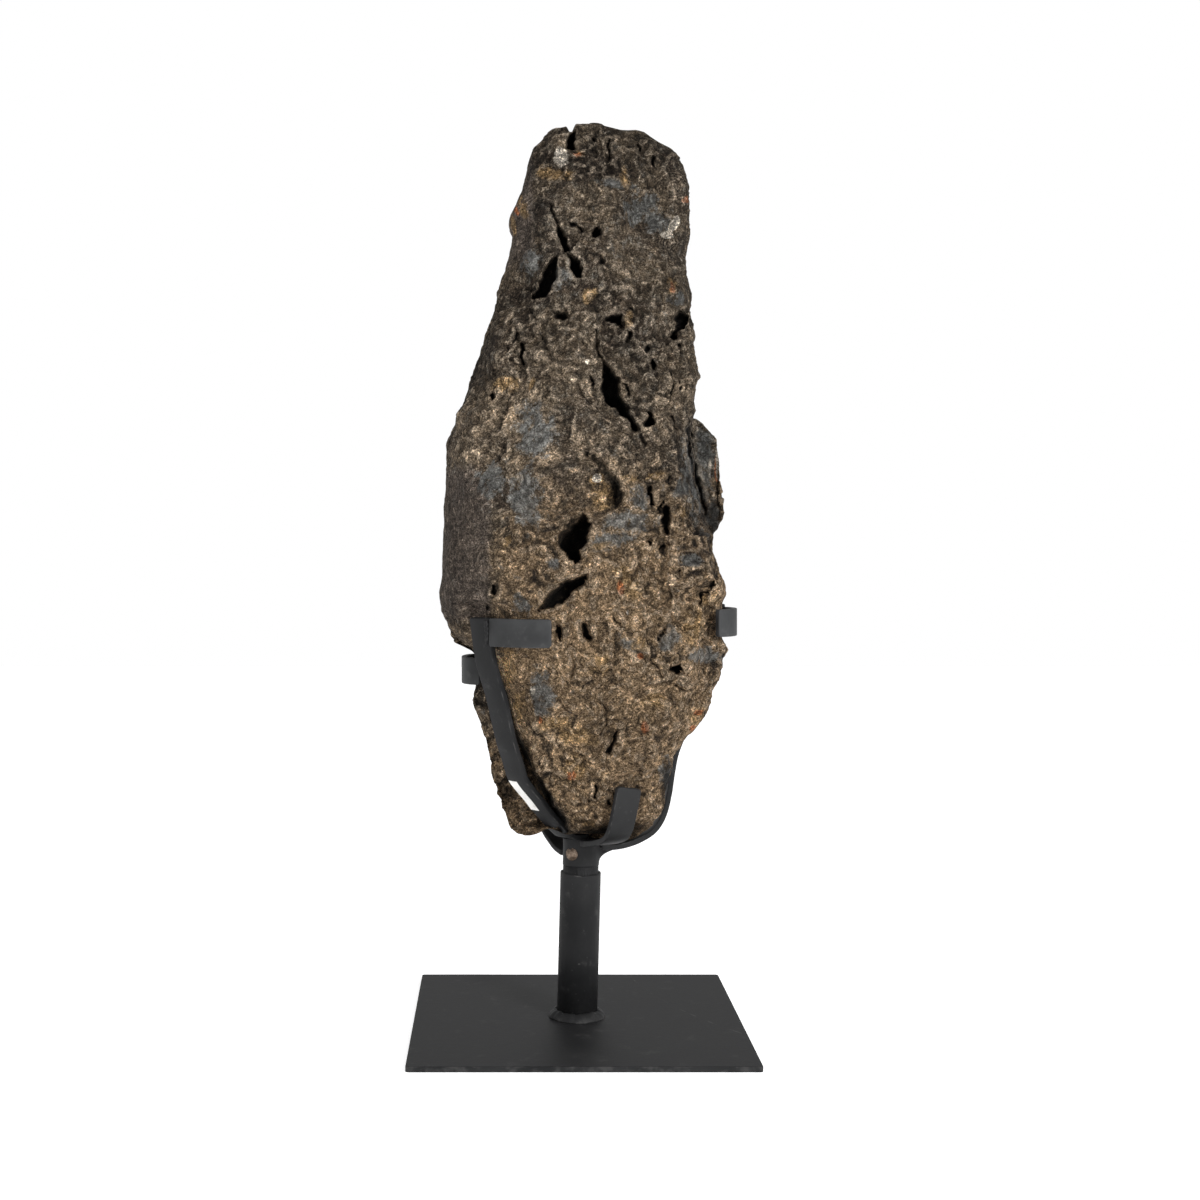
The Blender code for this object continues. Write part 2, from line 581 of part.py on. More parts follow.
def arm_weld(material, stand):
    """Hollow-faced weld in the corner between the stem and the underside of the right arm."""
    work = bmesh.new()
    corners = [(WELD_CORNER_X, WELD_CORNER_Z)]
    for step in range(6):
        turn = step * math.pi / 10
        hollow_x = WELD_CORNER_X + WELD_LEG * (1 - math.cos(turn))
        hollow_z = WELD_CORNER_Z - WELD_LEG * (1 - math.sin(turn))
        corners.append((hollow_x, hollow_z))
    near = [work.verts.new((x, -WELD_WIDTH / 2, z)) for x, z in corners]
    far = [work.verts.new((x, WELD_WIDTH / 2, z)) for x, z in corners]
    work.faces.new(near)
    work.faces.new(far[::-1])
    for first in range(len(corners)):
        second = (first + 1) % len(corners)
        work.faces.new((near[first], far[first], far[second], near[second]))
    bmesh.ops.recalc_face_normals(work, faces=work.faces)
    new_object("cradle_weld", mesh_from("cradle_weld", work), material, stand)


def twist_up_the_rear(path):
    """Width direction of the rear arm, which turns from across its way out to flat on the stone."""
    share = smooth((path[:, 2] - REAR_TWIST_FROM) / (REAR_TWIST_TO - REAR_TWIST_FROM))[:, None]
    return (1 - share) * np.array(REAR_CROSS_LOW) + share * np.array((1, 0, 0))


def cradle_routes():
    """Middle line and width direction of every bar of the cradle."""
    rear_path = smooth_path(np.array(REAR_ARM) * MM, 4)
    right_path = smooth_path([(x * MM, RIGHT_ARM_Y * MM, z * MM) for x, z in RIGHT_ARM], 3)
    return {"left_arm": (radial_path(LEFT_ARM, LEFT_OUT), LEFT_CROSS),
            "left_band": (level_path(LEFT_BAND, LEFT_BAND_Z), (0, 0, 1)),
            "right_arm": (right_path, (0, 1, 0)),
            "right_hook": (level_path(RIGHT_HOOK, RIGHT_HOOK_Z), (0, 0, 1)),
            "front_clip": (radial_path(FRONT_CLIP, FRONT_OUT), FRONT_CROSS),
            "rear_arm": (rear_path, twist_up_the_rear(rear_path)),
            "left_hook": (level_path(LEFT_HOOK, LEFT_HOOK_Z), (0, 0, 1))}


def label_strip(path, material, stand):
    """Strip of blank paper on the outer face of the left arm."""
    path = path[(path[:, 2] > LABEL_FROM) & (path[:, 2] < LABEL_TO)]
    path = path + outward_of(path, LEFT_CROSS) * (BAR_THICK / 2 + GAP + LABEL_THICK / 2)
    mesh = bar_mesh("blank_label", path, LEFT_CROSS, BAR_WIDTH - 4 * GAP, True, True)
    thicken(new_object("blank_label", mesh, material, stand), LABEL_THICK)


for old in list(bpy.data.objects):
    bpy.data.objects.remove(old)
stand = bpy.data.collections.new("semi_polished_agate")
cutters = bpy.data.collections.new("cutters")
for collection in (stand, cutters):
    bpy.context.scene.collection.children.link(collection)

rough_stone = new_material("rough agate", (0.075, 0.058, 0.045), 0.9, 0)
black_paint = new_material("black satin paint", (0.018, 0.018, 0.019), 0.5, 0.1)
bare_steel = new_material("bare steel", (0.16, 0.12, 0.09), 0.6, 0.7)
white_paper = new_material("white paper", (0.78, 0.77, 0.74), 0.8, 0)

base_plate(black_paint, stand)
post(black_paint, black_paint, stand)
stem(black_paint, bare_steel, stand, cutters)
arm_weld(black_paint, stand)
routes = cradle_routes()
stone = new_object("agate_stone", stone_mesh(routes), rough_stone, stand)
cut_from(stone, cave_cutters(cutters), crossing=True)
for bar_name, (bar_path, bar_cross) in routes.items():
    flat_bar(bar_name, bar_path, bar_cross, black_paint, stand, cutters, stone)
label_strip(routes["left_arm"][0], white_paper, stand)
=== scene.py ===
"""Looks of a tall agate boulder, rough in front and polished behind, in its flat-bar steel cradle."""
import math

import bpy
import numpy as np
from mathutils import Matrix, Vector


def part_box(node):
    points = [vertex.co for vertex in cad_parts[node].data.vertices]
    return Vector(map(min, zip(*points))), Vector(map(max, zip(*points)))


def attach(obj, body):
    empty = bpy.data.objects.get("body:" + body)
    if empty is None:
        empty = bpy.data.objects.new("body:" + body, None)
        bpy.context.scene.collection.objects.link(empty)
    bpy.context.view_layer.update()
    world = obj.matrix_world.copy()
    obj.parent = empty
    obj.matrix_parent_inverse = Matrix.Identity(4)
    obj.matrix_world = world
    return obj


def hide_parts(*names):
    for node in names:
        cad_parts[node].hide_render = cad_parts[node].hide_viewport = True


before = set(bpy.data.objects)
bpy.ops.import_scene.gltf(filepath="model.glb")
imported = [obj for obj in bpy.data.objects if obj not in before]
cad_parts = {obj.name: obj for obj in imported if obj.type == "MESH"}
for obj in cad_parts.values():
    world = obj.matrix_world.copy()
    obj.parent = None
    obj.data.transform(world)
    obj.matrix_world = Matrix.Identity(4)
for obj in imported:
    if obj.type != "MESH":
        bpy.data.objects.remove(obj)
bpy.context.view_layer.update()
MM = 0.001

# Base plate
# A square of 5 mm steel plate, its corners and edges eased with a file, then sprayed satin black.
# The paint is scuffed where things were set down on it, and worn to grey metal along its edges.
PLATE_EDGE = 0.6 * MM
PLATE_CORNER = 3 * MM
PLATE_RINGS = (1, 8, 40, 90, 145)
SCRATCH_CENTRE = (511 * MM, 219 * MM, 5 * MM)
SCRATCH_RADIUS = 455.5 * MM
BLACK = (0.0074, 0.0076, 0.0082)
FADED = (0.0170, 0.0170, 0.0175)
PALER_GREY = (0.045, 0.046, 0.047)
WORN_METAL = (0.16, 0.155, 0.15)


def skin(name, rings, material, joined=False, poles=(None, None), **fields):
    """Join a grid of points into one closed surface whose faces point outwards.

    Each row is a loop, and each row is joined to the next. The two end rows close on a pole, which is the
    row's middle unless it is given, or join each other where the loops themselves go round. The sign of the
    enclosed volume, the sum of each face's corner products, says whether the faces are turned over.
    """
    rows, columns = rings.shape[:2]
    number = np.arange(rows * columns).reshape(rows, columns)
    if joined:
        number = np.vstack([number, number[:1]])
    following = np.roll(number, -1, axis=1)
    quads = np.stack([number[:-1], following[:-1], following[1:], number[1:]], axis=-1).reshape(-1, 4)
    points = rings.reshape(-1, 3)
    first, second, third, fourth = (points[quads[:, corner]] for corner in range(4))
    volume = np.sum(np.cross(second - first, third - first) * (first + second + third))
    volume += np.sum(np.cross(third - first, fourth - first) * (first + third + fourth))
    faces = quads.tolist()
    if not joined:
        for row, pole, backward in ((0, poles[0], True), (-1, poles[1], False)):
            middle = rings[row].mean(axis=0) if pole is None else np.array(pole)
            points = np.vstack([points, middle])
            loop, ahead = (following, number) if backward else (number, following)
            tip = np.full(columns, len(points) - 1)
            faces += np.stack([loop[row], ahead[row], tip], axis=-1).tolist()
    if volume < 0:
        faces = [face[::-1] for face in faces]
    mesh = bpy.data.meshes.new(name)
    mesh.from_pydata(points.tolist(), [], faces)
    mesh.shade_smooth()
    mesh.materials.append(material)
    for field_name, values in fields.items():
        add_field(mesh, field_name, np.broadcast_to(values, (rows, columns)))
    piece = bpy.data.objects.new(name, mesh)
    bpy.context.scene.collection.objects.link(piece)
    return piece


def add_field(mesh, name, values):
    """Store one number per point of the grid; the poles after them take none."""
    padded = np.zeros(len(mesh.vertices), np.float32)
    padded[:values.size] = values.ravel()
    mesh.attributes.new(name, "FLOAT", "POINT").data.foreach_set("value", padded)


def fix(piece, slot, *nodes):
    """The piece belongs to the one body and stands for CAD nodes; the slot is not used."""
    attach(piece, "root")
    if nodes:
        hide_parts(*nodes)
    return piece


class Wire:
    """An output socket of a material, so that shader maths reads as Python expressions."""

    def __init__(self, socket):
        self.socket = socket
        self.tree = socket.id_data

    def node(self, kind, settings=None, inputs=None, output=0):
        """Add a node: its settings or ramp stops first, then a value or a wire for each input."""
        made = self.tree.nodes.new("ShaderNode" + kind)
        for key, value in (settings or {}).items():
            if key == "stops":
                ramp = made.color_ramp.elements
                while len(ramp) < len(value):
                    ramp.new(1)
                for element, (position, colour) in zip(ramp, value):
                    element.position = position
                    element.color = (*colour, 1)
            else:
                setattr(made, key, value)
        for key, value in (inputs or {}).items():
            socket = made.inputs[key]
            if isinstance(value, Wire):
                self.tree.links.new(value.socket, socket)
            elif socket.type == "RGBA":
                socket.default_value = (*value, 1)
            else:
                socket.default_value = value
        return Wire(made.outputs[output])

    def maths(self, operation, other, swapped=False):
        pair = (other, self) if swapped else (self, other)
        return self.node("Math", {"operation": operation}, dict(enumerate(pair)))

    def __add__(self, other):
        return self.maths("ADD", other)

    def __sub__(self, other):
        return self.maths("SUBTRACT", other)

    def __rsub__(self, other):
        return self.maths("SUBTRACT", other, swapped=True)

    def __mul__(self, other):
        return self.maths("MULTIPLY", other)

    def __truediv__(self, other):
        return self.maths("DIVIDE", other)

    __radd__ = __add__
    __rmul__ = __mul__

    def rise(self, low, high):
        """0 below low and 1 above high, with an eased step between them."""
        return self.node("MapRange", {"interpolation_type": "SMOOTHSTEP"},
                         {"Value": self, "From Min": low, "From Max": high})

    def mix(self, without, with_it):
        """Colour without this mask where it is 0, and with it where it is 1."""
        return self.node("Mix", {"data_type": "RGBA"}, {0: self, 6: without, 7: with_it}, 2)

    def noise(self, size, detail=4, roughness=0.55, twist=0):
        """Cloudy noise from 0 to 1, whose largest features are about that size, read at this place."""
        return self.node("TexNoise", None, {"Vector": self, "Scale": 1 / size, "Detail": detail,
                                            "Roughness": roughness, "Distortion": twist})

    def field(self, name):
        """A number stored on the mesh."""
        return self.node("Attribute", {"attribute_name": name}, None, 2)

    def bump(self, strength, distance, below=None):
        """Turn this height into a normal, over another one if it is given."""
        inputs = {"Height": self, "Strength": strength, "Distance": distance}
        if below:
            inputs["Normal"] = below
        return self.node("Bump", None, inputs)


def new_finish(name, constants, varying):
    """A Principled material: constants on its own sockets, and wires made by varying(place) for the rest."""
    material = bpy.data.materials.new(name)
    material.use_nodes = True
    tree = material.node_tree
    shader = tree.nodes["Principled BSDF"]
    for socket, value in constants.items():
        shader.inputs[socket].default_value = value
    place = Wire(tree.nodes.new("ShaderNodeTexCoord").outputs["Object"])
    for socket, wire in varying(place).items():
        tree.links.new(wire.socket, shader.inputs[socket])
    return material


def paint_looks(place):
    """Cloudy satin black, fine spray grain, hair scratches, and bare metal where the mesh says it is worn."""
    cloud = place.noise(70 * MM, 5)
    smudge = place.noise(18 * MM, 6, 0.65).rise(0.56, 0.76)
    grain = place.noise(0.9 * MM, 2)
    stretched = place.node("Mapping", None, {"Vector": place, "Rotation": (0, 0, 0.6), "Scale": (1, 14, 3)})
    hairs = stretched.noise(9 * MM, 3).rise(0.69, 0.74)
    from_centre = place.node("VectorMath", {"operation": "DISTANCE"}, {0: place, 1: SCRATCH_CENTRE}, 1)
    arc = 1 - (from_centre - SCRATCH_RADIUS).maths("ABSOLUTE", 0).rise(0.3 * MM, 0.9 * MM)
    arc = arc * place.noise(12 * MM, 3).rise(0.5, 0.62)
    wear = place.field("worn") * place.noise(11 * MM, 5, 0.6).rise(0.46, 0.66)
    marks = (hairs * 0.25 + arc * 0.35 + smudge * 0.16).maths("MINIMUM", 1)
    colour = cloud.rise(0.3, 0.7).mix(BLACK, FADED)
    # Paler grey in clouds on the level bands and hooks, where the mesh says so.
    colour = (place.field("dusty") * cloud.rise(0.2, 0.6)).mix(colour, PALER_GREY)
    colour = marks.mix(colour, WORN_METAL)
    colour = (wear * 0.28).mix(colour, WORN_METAL)
    return {"Base Color": colour,
            "Roughness": cloud * 0.16 + grain * 0.08 + 0.46 + marks * 0.25,
            "Normal": (grain * 0.5 + place.noise(6 * MM, 3)).bump(0.35, 0.25 * MM)}


black_paint = new_finish("satin black paint", {"Specular IOR Level": 0.14}, paint_looks)


def rounded_square(half, corner, per_corner=8, per_side=12):
    """Points round a square with quarter circles at its corners, anticlockwise from above."""
    turn = np.linspace(0, math.pi / 2, per_corner)
    points = []
    for quarter in range(4):
        angle = turn + quarter * math.pi / 2
        middle = (half - corner) * np.sqrt(2) * np.array((math.cos(quarter * math.pi / 2 + math.pi / 4),
                                                           math.sin(quarter * math.pi / 2 + math.pi / 4)))
        arc = middle + corner * np.column_stack([np.cos(angle), np.sin(angle)])
        following = np.array((-arc[0, 1], arc[0, 0]))
        share = np.linspace(0, 1, per_side + 2)[1:-1, None]
        points += [arc, arc[-1] + (following - arc[-1]) * share]
    return np.vstack(points)


plate_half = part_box("base_plate")[1].x
plate_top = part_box("base_plate")[1].z
plate_profile = [(inset * MM, 0) for inset in PLATE_RINGS[::-1]]
edge_turn = np.linspace(0, math.pi / 2, 4)
edge_first = PLATE_EDGE * (1 - np.sin(edge_turn))
edge_second = PLATE_EDGE * (1 - np.cos(edge_turn))
plate_profile += zip(edge_first, edge_second)
plate_profile += zip(edge_second, plate_top - edge_first)
plate_profile += [(inset * MM, plate_top) for inset in PLATE_RINGS]
plate_rings = []
plate_worn = []
for inset, height in plate_profile:
    outline = rounded_square(plate_half - inset, max(PLATE_CORNER - inset, 0.3 * MM))
    plate_rings.append(np.column_stack([outline, np.full(len(outline), height)]))
    plate_worn.append(0.5 if inset < PLATE_EDGE else 0.0)
plate = skin("base_plate_finished", np.array(plate_rings), black_paint, worn=np.array(plate_worn)[:, None])
fix(plate, "black_paint", "base_plate")

# Post
# A round steel tube cut square, welded to the middle of the plate and leaning a little to the right.
# Its upper rim was left as sawn: it waves a little, and paint has rubbed off where the cradle turns in it.
POST_OUTER = 19 * MM
POST_INNER = 17 * MM
POST_LEAN = math.radians(1.44)
POST_FOOT_X = 0.3 * MM
RIM_WAVE = 0.35 * MM
RIM_ROUND = 0.5 * MM
WELD_REACH = 8 * MM
WELD_INNER = POST_OUTER - 0.5 * MM
ROUND_STEPS = 96


def turned(profile, wave):
    """Turn a closed profile of (radius, height) about the post's leaning axis.

    A point at angle a goes to (r cos a, r sin a, h); the wave lifts it by sines of 2a and 5a as far as
    the profile says, and the whole is turned by the lean about the Y axis through the post's foot.
    """
    angle = np.linspace(0, 2 * math.pi, ROUND_STEPS, endpoint=False)[None, :]
    radius, height = np.array(profile).T[..., None]
    x, y = radius * np.cos(angle), radius * np.sin(angle)
    z = height + wave * (np.sin(2 * angle + 1) + 0.6 * np.sin(5 * angle))
    turned_x = x * math.cos(POST_LEAN) + z * math.sin(POST_LEAN) + POST_FOOT_X
    turned_z = z * math.cos(POST_LEAN) - x * math.sin(POST_LEAN)
    return np.stack([turned_x, y, turned_z], axis=-1)


post_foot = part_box("post_tube")[0].z + POST_OUTER * math.sin(POST_LEAN)
post_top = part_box("post_tube")[1].z - POST_OUTER * math.sin(POST_LEAN) - 2 * RIM_WAVE
tube_profile = [(POST_INNER, post_top - RIM_ROUND), (POST_INNER, (post_top + post_foot) / 2),
                (POST_INNER, post_foot), (POST_OUTER, post_foot), (POST_OUTER, post_top / 2),
                (POST_OUTER, post_top - 3 * RIM_ROUND), (POST_OUTER, post_top - RIM_ROUND),
                (POST_OUTER - 0.3 * RIM_ROUND, post_top - 0.3 * RIM_ROUND),
                (POST_OUTER - RIM_ROUND, post_top), (POST_INNER + RIM_ROUND, post_top)]
on_rim = np.array([height > post_top - 2 * RIM_ROUND for _, height in tube_profile], float)[:, None]
tube = skin("post_tube_finished", turned(tube_profile, on_rim * RIM_WAVE), black_paint, joined=True,
            worn=on_rim)
fix(tube, "black_paint", "post_tube")


def ripple(angle, turns, seed):
    """Uneven weave of a weld, from -1 to 1: a few sines round the circle with seeded phases."""
    phases = np.random.default_rng(seed).uniform(0, 2 * math.pi, len(turns))
    return sum(np.sin(turn * angle + phase) for turn, phase in zip(turns, phases)) / len(turns)


weld_angle = np.linspace(0, 2 * math.pi, ROUND_STEPS, endpoint=False)[None, :]
weld_turn = np.linspace(0, math.pi / 2, 9)[:, None]
weld_swell = 1 + 0.12 * ripple(weld_angle, (3, 5, 8, 13, 21), 4)
weld_out = WELD_INNER + WELD_REACH * (0.08 + 0.92 * np.sin(weld_turn) ** 1.3) * weld_swell
weld_up = 0.9 * WELD_REACH * np.cos(weld_turn) ** 1.2 * (1 + 0.14 * ripple(weld_angle, (4, 7, 11, 19), 9))
weld_low = plate_top + 0.1 * MM
weld_rings = np.stack([weld_out * np.cos(weld_angle) + POST_FOOT_X, weld_out * np.sin(weld_angle),
                       weld_low + weld_up], axis=-1)
inner_foot = np.stack([WELD_INNER * np.cos(weld_angle), WELD_INNER * np.sin(weld_angle),
                       np.full_like(weld_angle, weld_low)], axis=-1)
weld_worn = np.clip((weld_turn - 0.9) * 1.5, 0, 1) * 0.8
weld = skin("post_weld_finished", np.vstack([weld_rings, inner_foot]), black_paint, joined=True,
            worn=np.vstack([weld_worn, [[0]]]))
fix(weld, "black_paint", "post_weld")

# Stem and its plug
# A round bar fixed under the cradle, which drops into the post and carries the whole stone. The plug is
# the bare, browned end of a screw let into its front, filed nearly flush, with a dark notch across it.
SHARP_ANGLE = math.radians(35)


def clean_copy(node, name, material):
    """A copy of a CAD node with its loose triangles merged and its round faces shaded smooth."""
    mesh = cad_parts[node].data.copy()
    mesh.name = name
    mesh.materials.clear()
    mesh.materials.append(material)
    piece = bpy.data.objects.new(name, mesh)
    bpy.context.scene.collection.objects.link(piece)
    merge = piece.modifiers.new("merge", "WELD")
    merge.merge_threshold = 0.02 * MM
    bpy.context.view_layer.update()
    merged = bpy.data.meshes.new_from_object(piece.evaluated_get(bpy.context.evaluated_depsgraph_get()))
    piece.modifiers.clear()
    piece.data = merged
    merged.shade_smooth()
    merged.set_sharp_from_angle(angle=SHARP_ANGLE)
    return piece


def plug_looks(place):
    """Brown rusty steel with dark and pale rubbed spots."""
    spots = place.noise(2.5 * MM, 5, 0.7)
    colour = spots.node("ValToRGB", {"stops": ((0.3, (0.03, 0.02, 0.015)), (0.5, (0.17, 0.12, 0.085)),
                                               (0.72, (0.36, 0.28, 0.22)))}, {"Fac": spots})
    return {"Base Color": colour, "Roughness": spots * 0.3 + 0.35, "Normal": spots.bump(0.6, 0.5 * MM)}


bare_steel = new_finish("browned steel", {"Metallic": 0.55}, plug_looks)
fix(clean_copy("cradle_stem", "cradle_stem_finished", black_paint), "black_paint", "cradle_stem")
fix(clean_copy("stem_plug", "stem_plug_finished", bare_steel), "bare_steel", "stem_plug")

# Cradle bars
# Seven lengths of flat bar, 25 by 5 mm, bent cold to the stone and welded into a cradle that grips it.
# The ends are rounded on the grinder, and the painted corners have rubbed down to a thin grey line.
BAR_WIDTH = 25 * MM
BAR_THICK = 5 * MM
BAR_EDGE = 0.8 * MM
TIP_ROUND = 3.2 * MM
BAR_STEP = 2.5 * MM
CORNER_POINTS = 4
LEVEL_PALER = 0.75
STEM_AXIS_X = 4.5 * MM
STONE_MIDDLE = (5 * MM, -25 * MM, 400 * MM)
LEFT_OUT = (-0.755, -0.656)
LEFT_CROSS = (0.656, -0.755, 0)
LEFT_ARM = ((1, 176), (17, 176.5), (27.6, 183), (47.7, 202), (58.8, 214), (78.4, 234.4), (86.3, 253),
            (94, 272), (104.8, 309), (117.7, 345), (124.7, 383.5))
LEFT_BAND_Z = 371
LEFT_BAND = ((-80.2, -91.6), (-72, -101), (-60, -110.5), (-44, -116), (-27, -118.5))
RIGHT_ARM_Y = 2
RIGHT_ARM = ((21.8, 165), (32.7, 165.3), (44.8, 167.2), (57.5, 171.6), (70, 179), (77.6, 188), (82.8, 200),
             (86.6, 217), (89.4, 236), (93.4, 255), (103.5, 280), (113, 303), (122, 330), (130, 355),
             (134.5, 375), (136, 393))
RIGHT_HOOK_Z = 378
RIGHT_HOOK = ((137, -10.9), (140.5, -20), (143, -34), (141, -50), (134.5, -63), (123, -73))
FRONT_CROSS = (0.893, 0.451, 0)
FRONT_CLIP = ((12.3, -15.4, 171), (19, -30.4, 173.5), (26, -49.5, 178), (31.5, -65, 183.5),
              (34.8, -73.3, 190.5), (37.5, -76.3, 201), (40.6, -77, 216), (43.3, -76.8, 231))
REAR_ARM = ((-3, 15, 156.5), (-6, 21, 157.6), (-10, 28, 160), (-13, 33, 163.4),
            (-16, 37, 168), (-21, 39.6, 178), (-27, 38.8, 200), (-34, 38.2, 240), (-40, 38.7, 290),
            (-44, 39.6, 345))
REAR_CROSS_LOW = (0.89, 0.45, 0)
REAR_TWIST = (157 * MM, 217 * MM)
LEFT_HOOK_Z = 331
LEFT_HOOK = ((-56.6, 39.8), (-72, 39.8), (-86, 39.6), (-98, 35), (-104, 22), (-105.8, 6), (-104, -9),
             (-98.5, -19), (-90, -24))


def smooth(value):
    """Ease from 0 to 1 without a kink: 3v² - 2v³."""
    value = np.clip(value, 0, 1)
    return value * value * (3 - 2 * value)


def smooth_path(points, spans=8):
    """A Catmull-Rom curve through points in millimetres, with that many steps between two of them."""
    points = np.array(points, float) * MM
    padded = np.vstack([2 * points[0] - points[1], points, 2 * points[-1] - points[-2]])
    t = np.linspace(0, 1, spans, endpoint=False)[:, None]
    pieces = []
    for a, b, c, d in zip(padded, padded[1:], padded[2:], padded[3:]):
        pieces.append(0.5 * (2 * b + (c - a) * t + (2 * a - 5 * b + 4 * c - d) * t ** 2
                             + (3 * b - a - 3 * c + d) * t ** 3))
    return np.vstack([*pieces, points[-1:]])


def radial_path(profile, direction):
    """Points (radius, height) in the upright plane that leaves the stem in a direction."""
    return smooth_path([(STEM_AXIS_X / MM + radius * direction[0], radius * direction[1], height)
                        for radius, height in profile])


def level_path(points, height):
    """A route of (x, y) points at one height."""
    return smooth_path([(x, y, height) for x, y in points])


rear_path = smooth_path(REAR_ARM)
rear_share = smooth((rear_path[:, 2] - REAR_TWIST[0]) / (REAR_TWIST[1] - REAR_TWIST[0]))[:, None]
rear_cross = (1 - rear_share) * np.array(REAR_CROSS_LOW) + rear_share * np.array((1, 0, 0))
routes = {"left_arm": (radial_path(LEFT_ARM, LEFT_OUT), LEFT_CROSS),
          "left_band": (level_path(LEFT_BAND, LEFT_BAND_Z), (0, 0, 1)),
          "right_arm": (smooth_path([(x, RIGHT_ARM_Y, z) for x, z in RIGHT_ARM]), (0, 1, 0)),
          "right_hook": (level_path(RIGHT_HOOK, RIGHT_HOOK_Z), (0, 0, 1)),
          "front_clip": (smooth_path(FRONT_CLIP), FRONT_CROSS),
          "rear_arm": (rear_path, rear_cross),
          "left_hook": (level_path(LEFT_HOOK, LEFT_HOOK_Z), (0, 0, 1))}


def tip_inset(distance, radius):
    """How far a quarter circle of that radius pulls the side in, at a distance from the bar's end."""
    inside = np.clip(radius - distance, 0, radius)
    return radius - np.sqrt(radius ** 2 - inside ** 2)


def bar_rings(path, cross):
    """Carry a rounded rectangle along the path.

    The path is read at equal steps of its length, and closer over the last TIP_ROUND at each end, where the
    half width follows a quarter circle. Each section point is the path's point, plus a share of the width
    direction, plus a share of the direction square to it and to the path.
    """
    cross = np.broadcast_to(np.array(cross, float), path.shape)
    run = np.hstack([0, np.cumsum(np.linalg.norm(np.diff(path, axis=0), axis=1))])
    tip = TIP_ROUND * (1 - np.cos(np.linspace(0, math.pi / 2, 8)))
    body = np.linspace(TIP_ROUND, run[-1] - TIP_ROUND, int(run[-1] / BAR_STEP))[1:-1]
    stations = np.hstack([tip, body, (run[-1] - tip)[::-1]])
    centre = np.column_stack([np.interp(stations, run, path[:, axis]) for axis in range(3)])
    width_way = np.column_stack([np.interp(stations, run, cross[:, axis]) for axis in range(3)])
    onward = np.gradient(centre, axis=0)
    onward /= np.linalg.norm(onward, axis=1, keepdims=True)
    width_way -= np.sum(width_way * onward, axis=1, keepdims=True) * onward
    width_way /= np.linalg.norm(width_way, axis=1, keepdims=True)
    face_way = np.cross(onward, width_way)
    face_way /= np.linalg.norm(face_way, axis=1, keepdims=True)
    to_end = np.minimum(stations, run[-1] - stations)[:, None]
    half_width = BAR_WIDTH / 2 - BAR_EDGE - tip_inset(to_end, TIP_ROUND)
    half_thick = BAR_THICK / 2 - BAR_EDGE - tip_inset(to_end, BAR_EDGE)
    turn = np.linspace(0, math.pi / 2, CORNER_POINTS)
    angle = np.concatenate([turn + quarter * math.pi / 2 for quarter in range(4)])[None, :]
    side = np.repeat((1, -1, -1, 1), CORNER_POINTS)[None, :]
    face = np.repeat((1, 1, -1, -1), CORNER_POINTS)[None, :]
    across = side * half_width + BAR_EDGE * np.cos(angle)
    through = face * half_thick + BAR_EDGE * np.sin(angle)
    return (centre[:, None, :] + across[..., None] * width_way[:, None, :]
            + through[..., None] * face_way[:, None, :])


corner_worn = np.tile((0, 1, 1, 0), 4)[None, :]
for bar_name, (bar_path, bar_cross) in routes.items():
    # The level bands and hooks take a paler grey.
    paler_amount = LEVEL_PALER if bar_name in ("left_band", "right_hook", "left_hook") else 0.0
    bar = skin(bar_name + "_finished", bar_rings(bar_path, bar_cross), black_paint, worn=corner_worn,
               dusty=np.full((1, 1), paler_amount))
    fix(bar, "black_paint", bar_name)

# Welds of the cradle
# The bars are run together with the stem in one lumpy fillet, hollow under the right arm, and each hook
# and band has a short bead at the bar that carries it. All of it was painted over with the rest.
FILLET_LOW = 148 * MM
FILLET_TOP = 174.5 * MM
FILLET_TOP_RIGHT = 162.3 * MM
FILLET_SKIN = 17.1 * MM
FILLET_ARMS = ((0, 15, 0.42), (221, 4, 0.4), (297, 5, 0.4), (130, 4, 0.4))
BEADS = {"left_band_weld": ((-83.4, -89.5, 359.5), (-83.2, -91.2, 371), (-84.6, -93.2, 382)),
         "right_hook_weld": ((135.2, -10.8, 369.5), (136.6, -11.2, 380), (137.4, -10.8, 391)),
         "left_hook_weld": ((-55.8, 38.4, 320.5), (-56.2, 38.6, 331), (-56.2, 38.6, 341.5)),
         "front_clip_weld": ((7.2, -21.5, 172.4), (13.5, -18.5, 172.6), (20.5, -15, 171.6))}
BEAD_RADIUS = 2.1 * MM

fillet_angle = np.linspace(0, 2 * math.pi, ROUND_STEPS, endpoint=False)[None, :]
fillet_rise = np.linspace(0, 1, 20)[:, None]
to_right = np.exp(-(np.sin(fillet_angle / 2) / 0.36) ** 4)
fillet_top = FILLET_TOP + (FILLET_TOP_RIGHT - FILLET_TOP) * to_right
fillet_z = FILLET_LOW + (fillet_top - FILLET_LOW) * fillet_rise
fillet_out = FILLET_SKIN * np.ones_like(fillet_z)
for toward, reach, spread in FILLET_ARMS:
    aside = 2 * np.sin((fillet_angle - math.radians(toward)) / 2) / spread
    fillet_out = fillet_out + reach * MM * np.exp(-aside ** 2) * fillet_rise ** 3
fillet_out = fillet_out * (1 + 0.018 * fillet_rise * ripple(fillet_angle, (3, 7, 12, 19), 6))
fillet_axis = POST_FOOT_X + fillet_z * math.tan(POST_LEAN)
fillet_rings = np.stack([fillet_axis + fillet_out * np.cos(fillet_angle), fillet_out * np.sin(fillet_angle),
                         fillet_z], axis=-1)
fillet = skin("cradle_weld_finished", fillet_rings, black_paint, worn=0 * fillet_z)
fix(fillet, "black_paint", "cradle_weld")

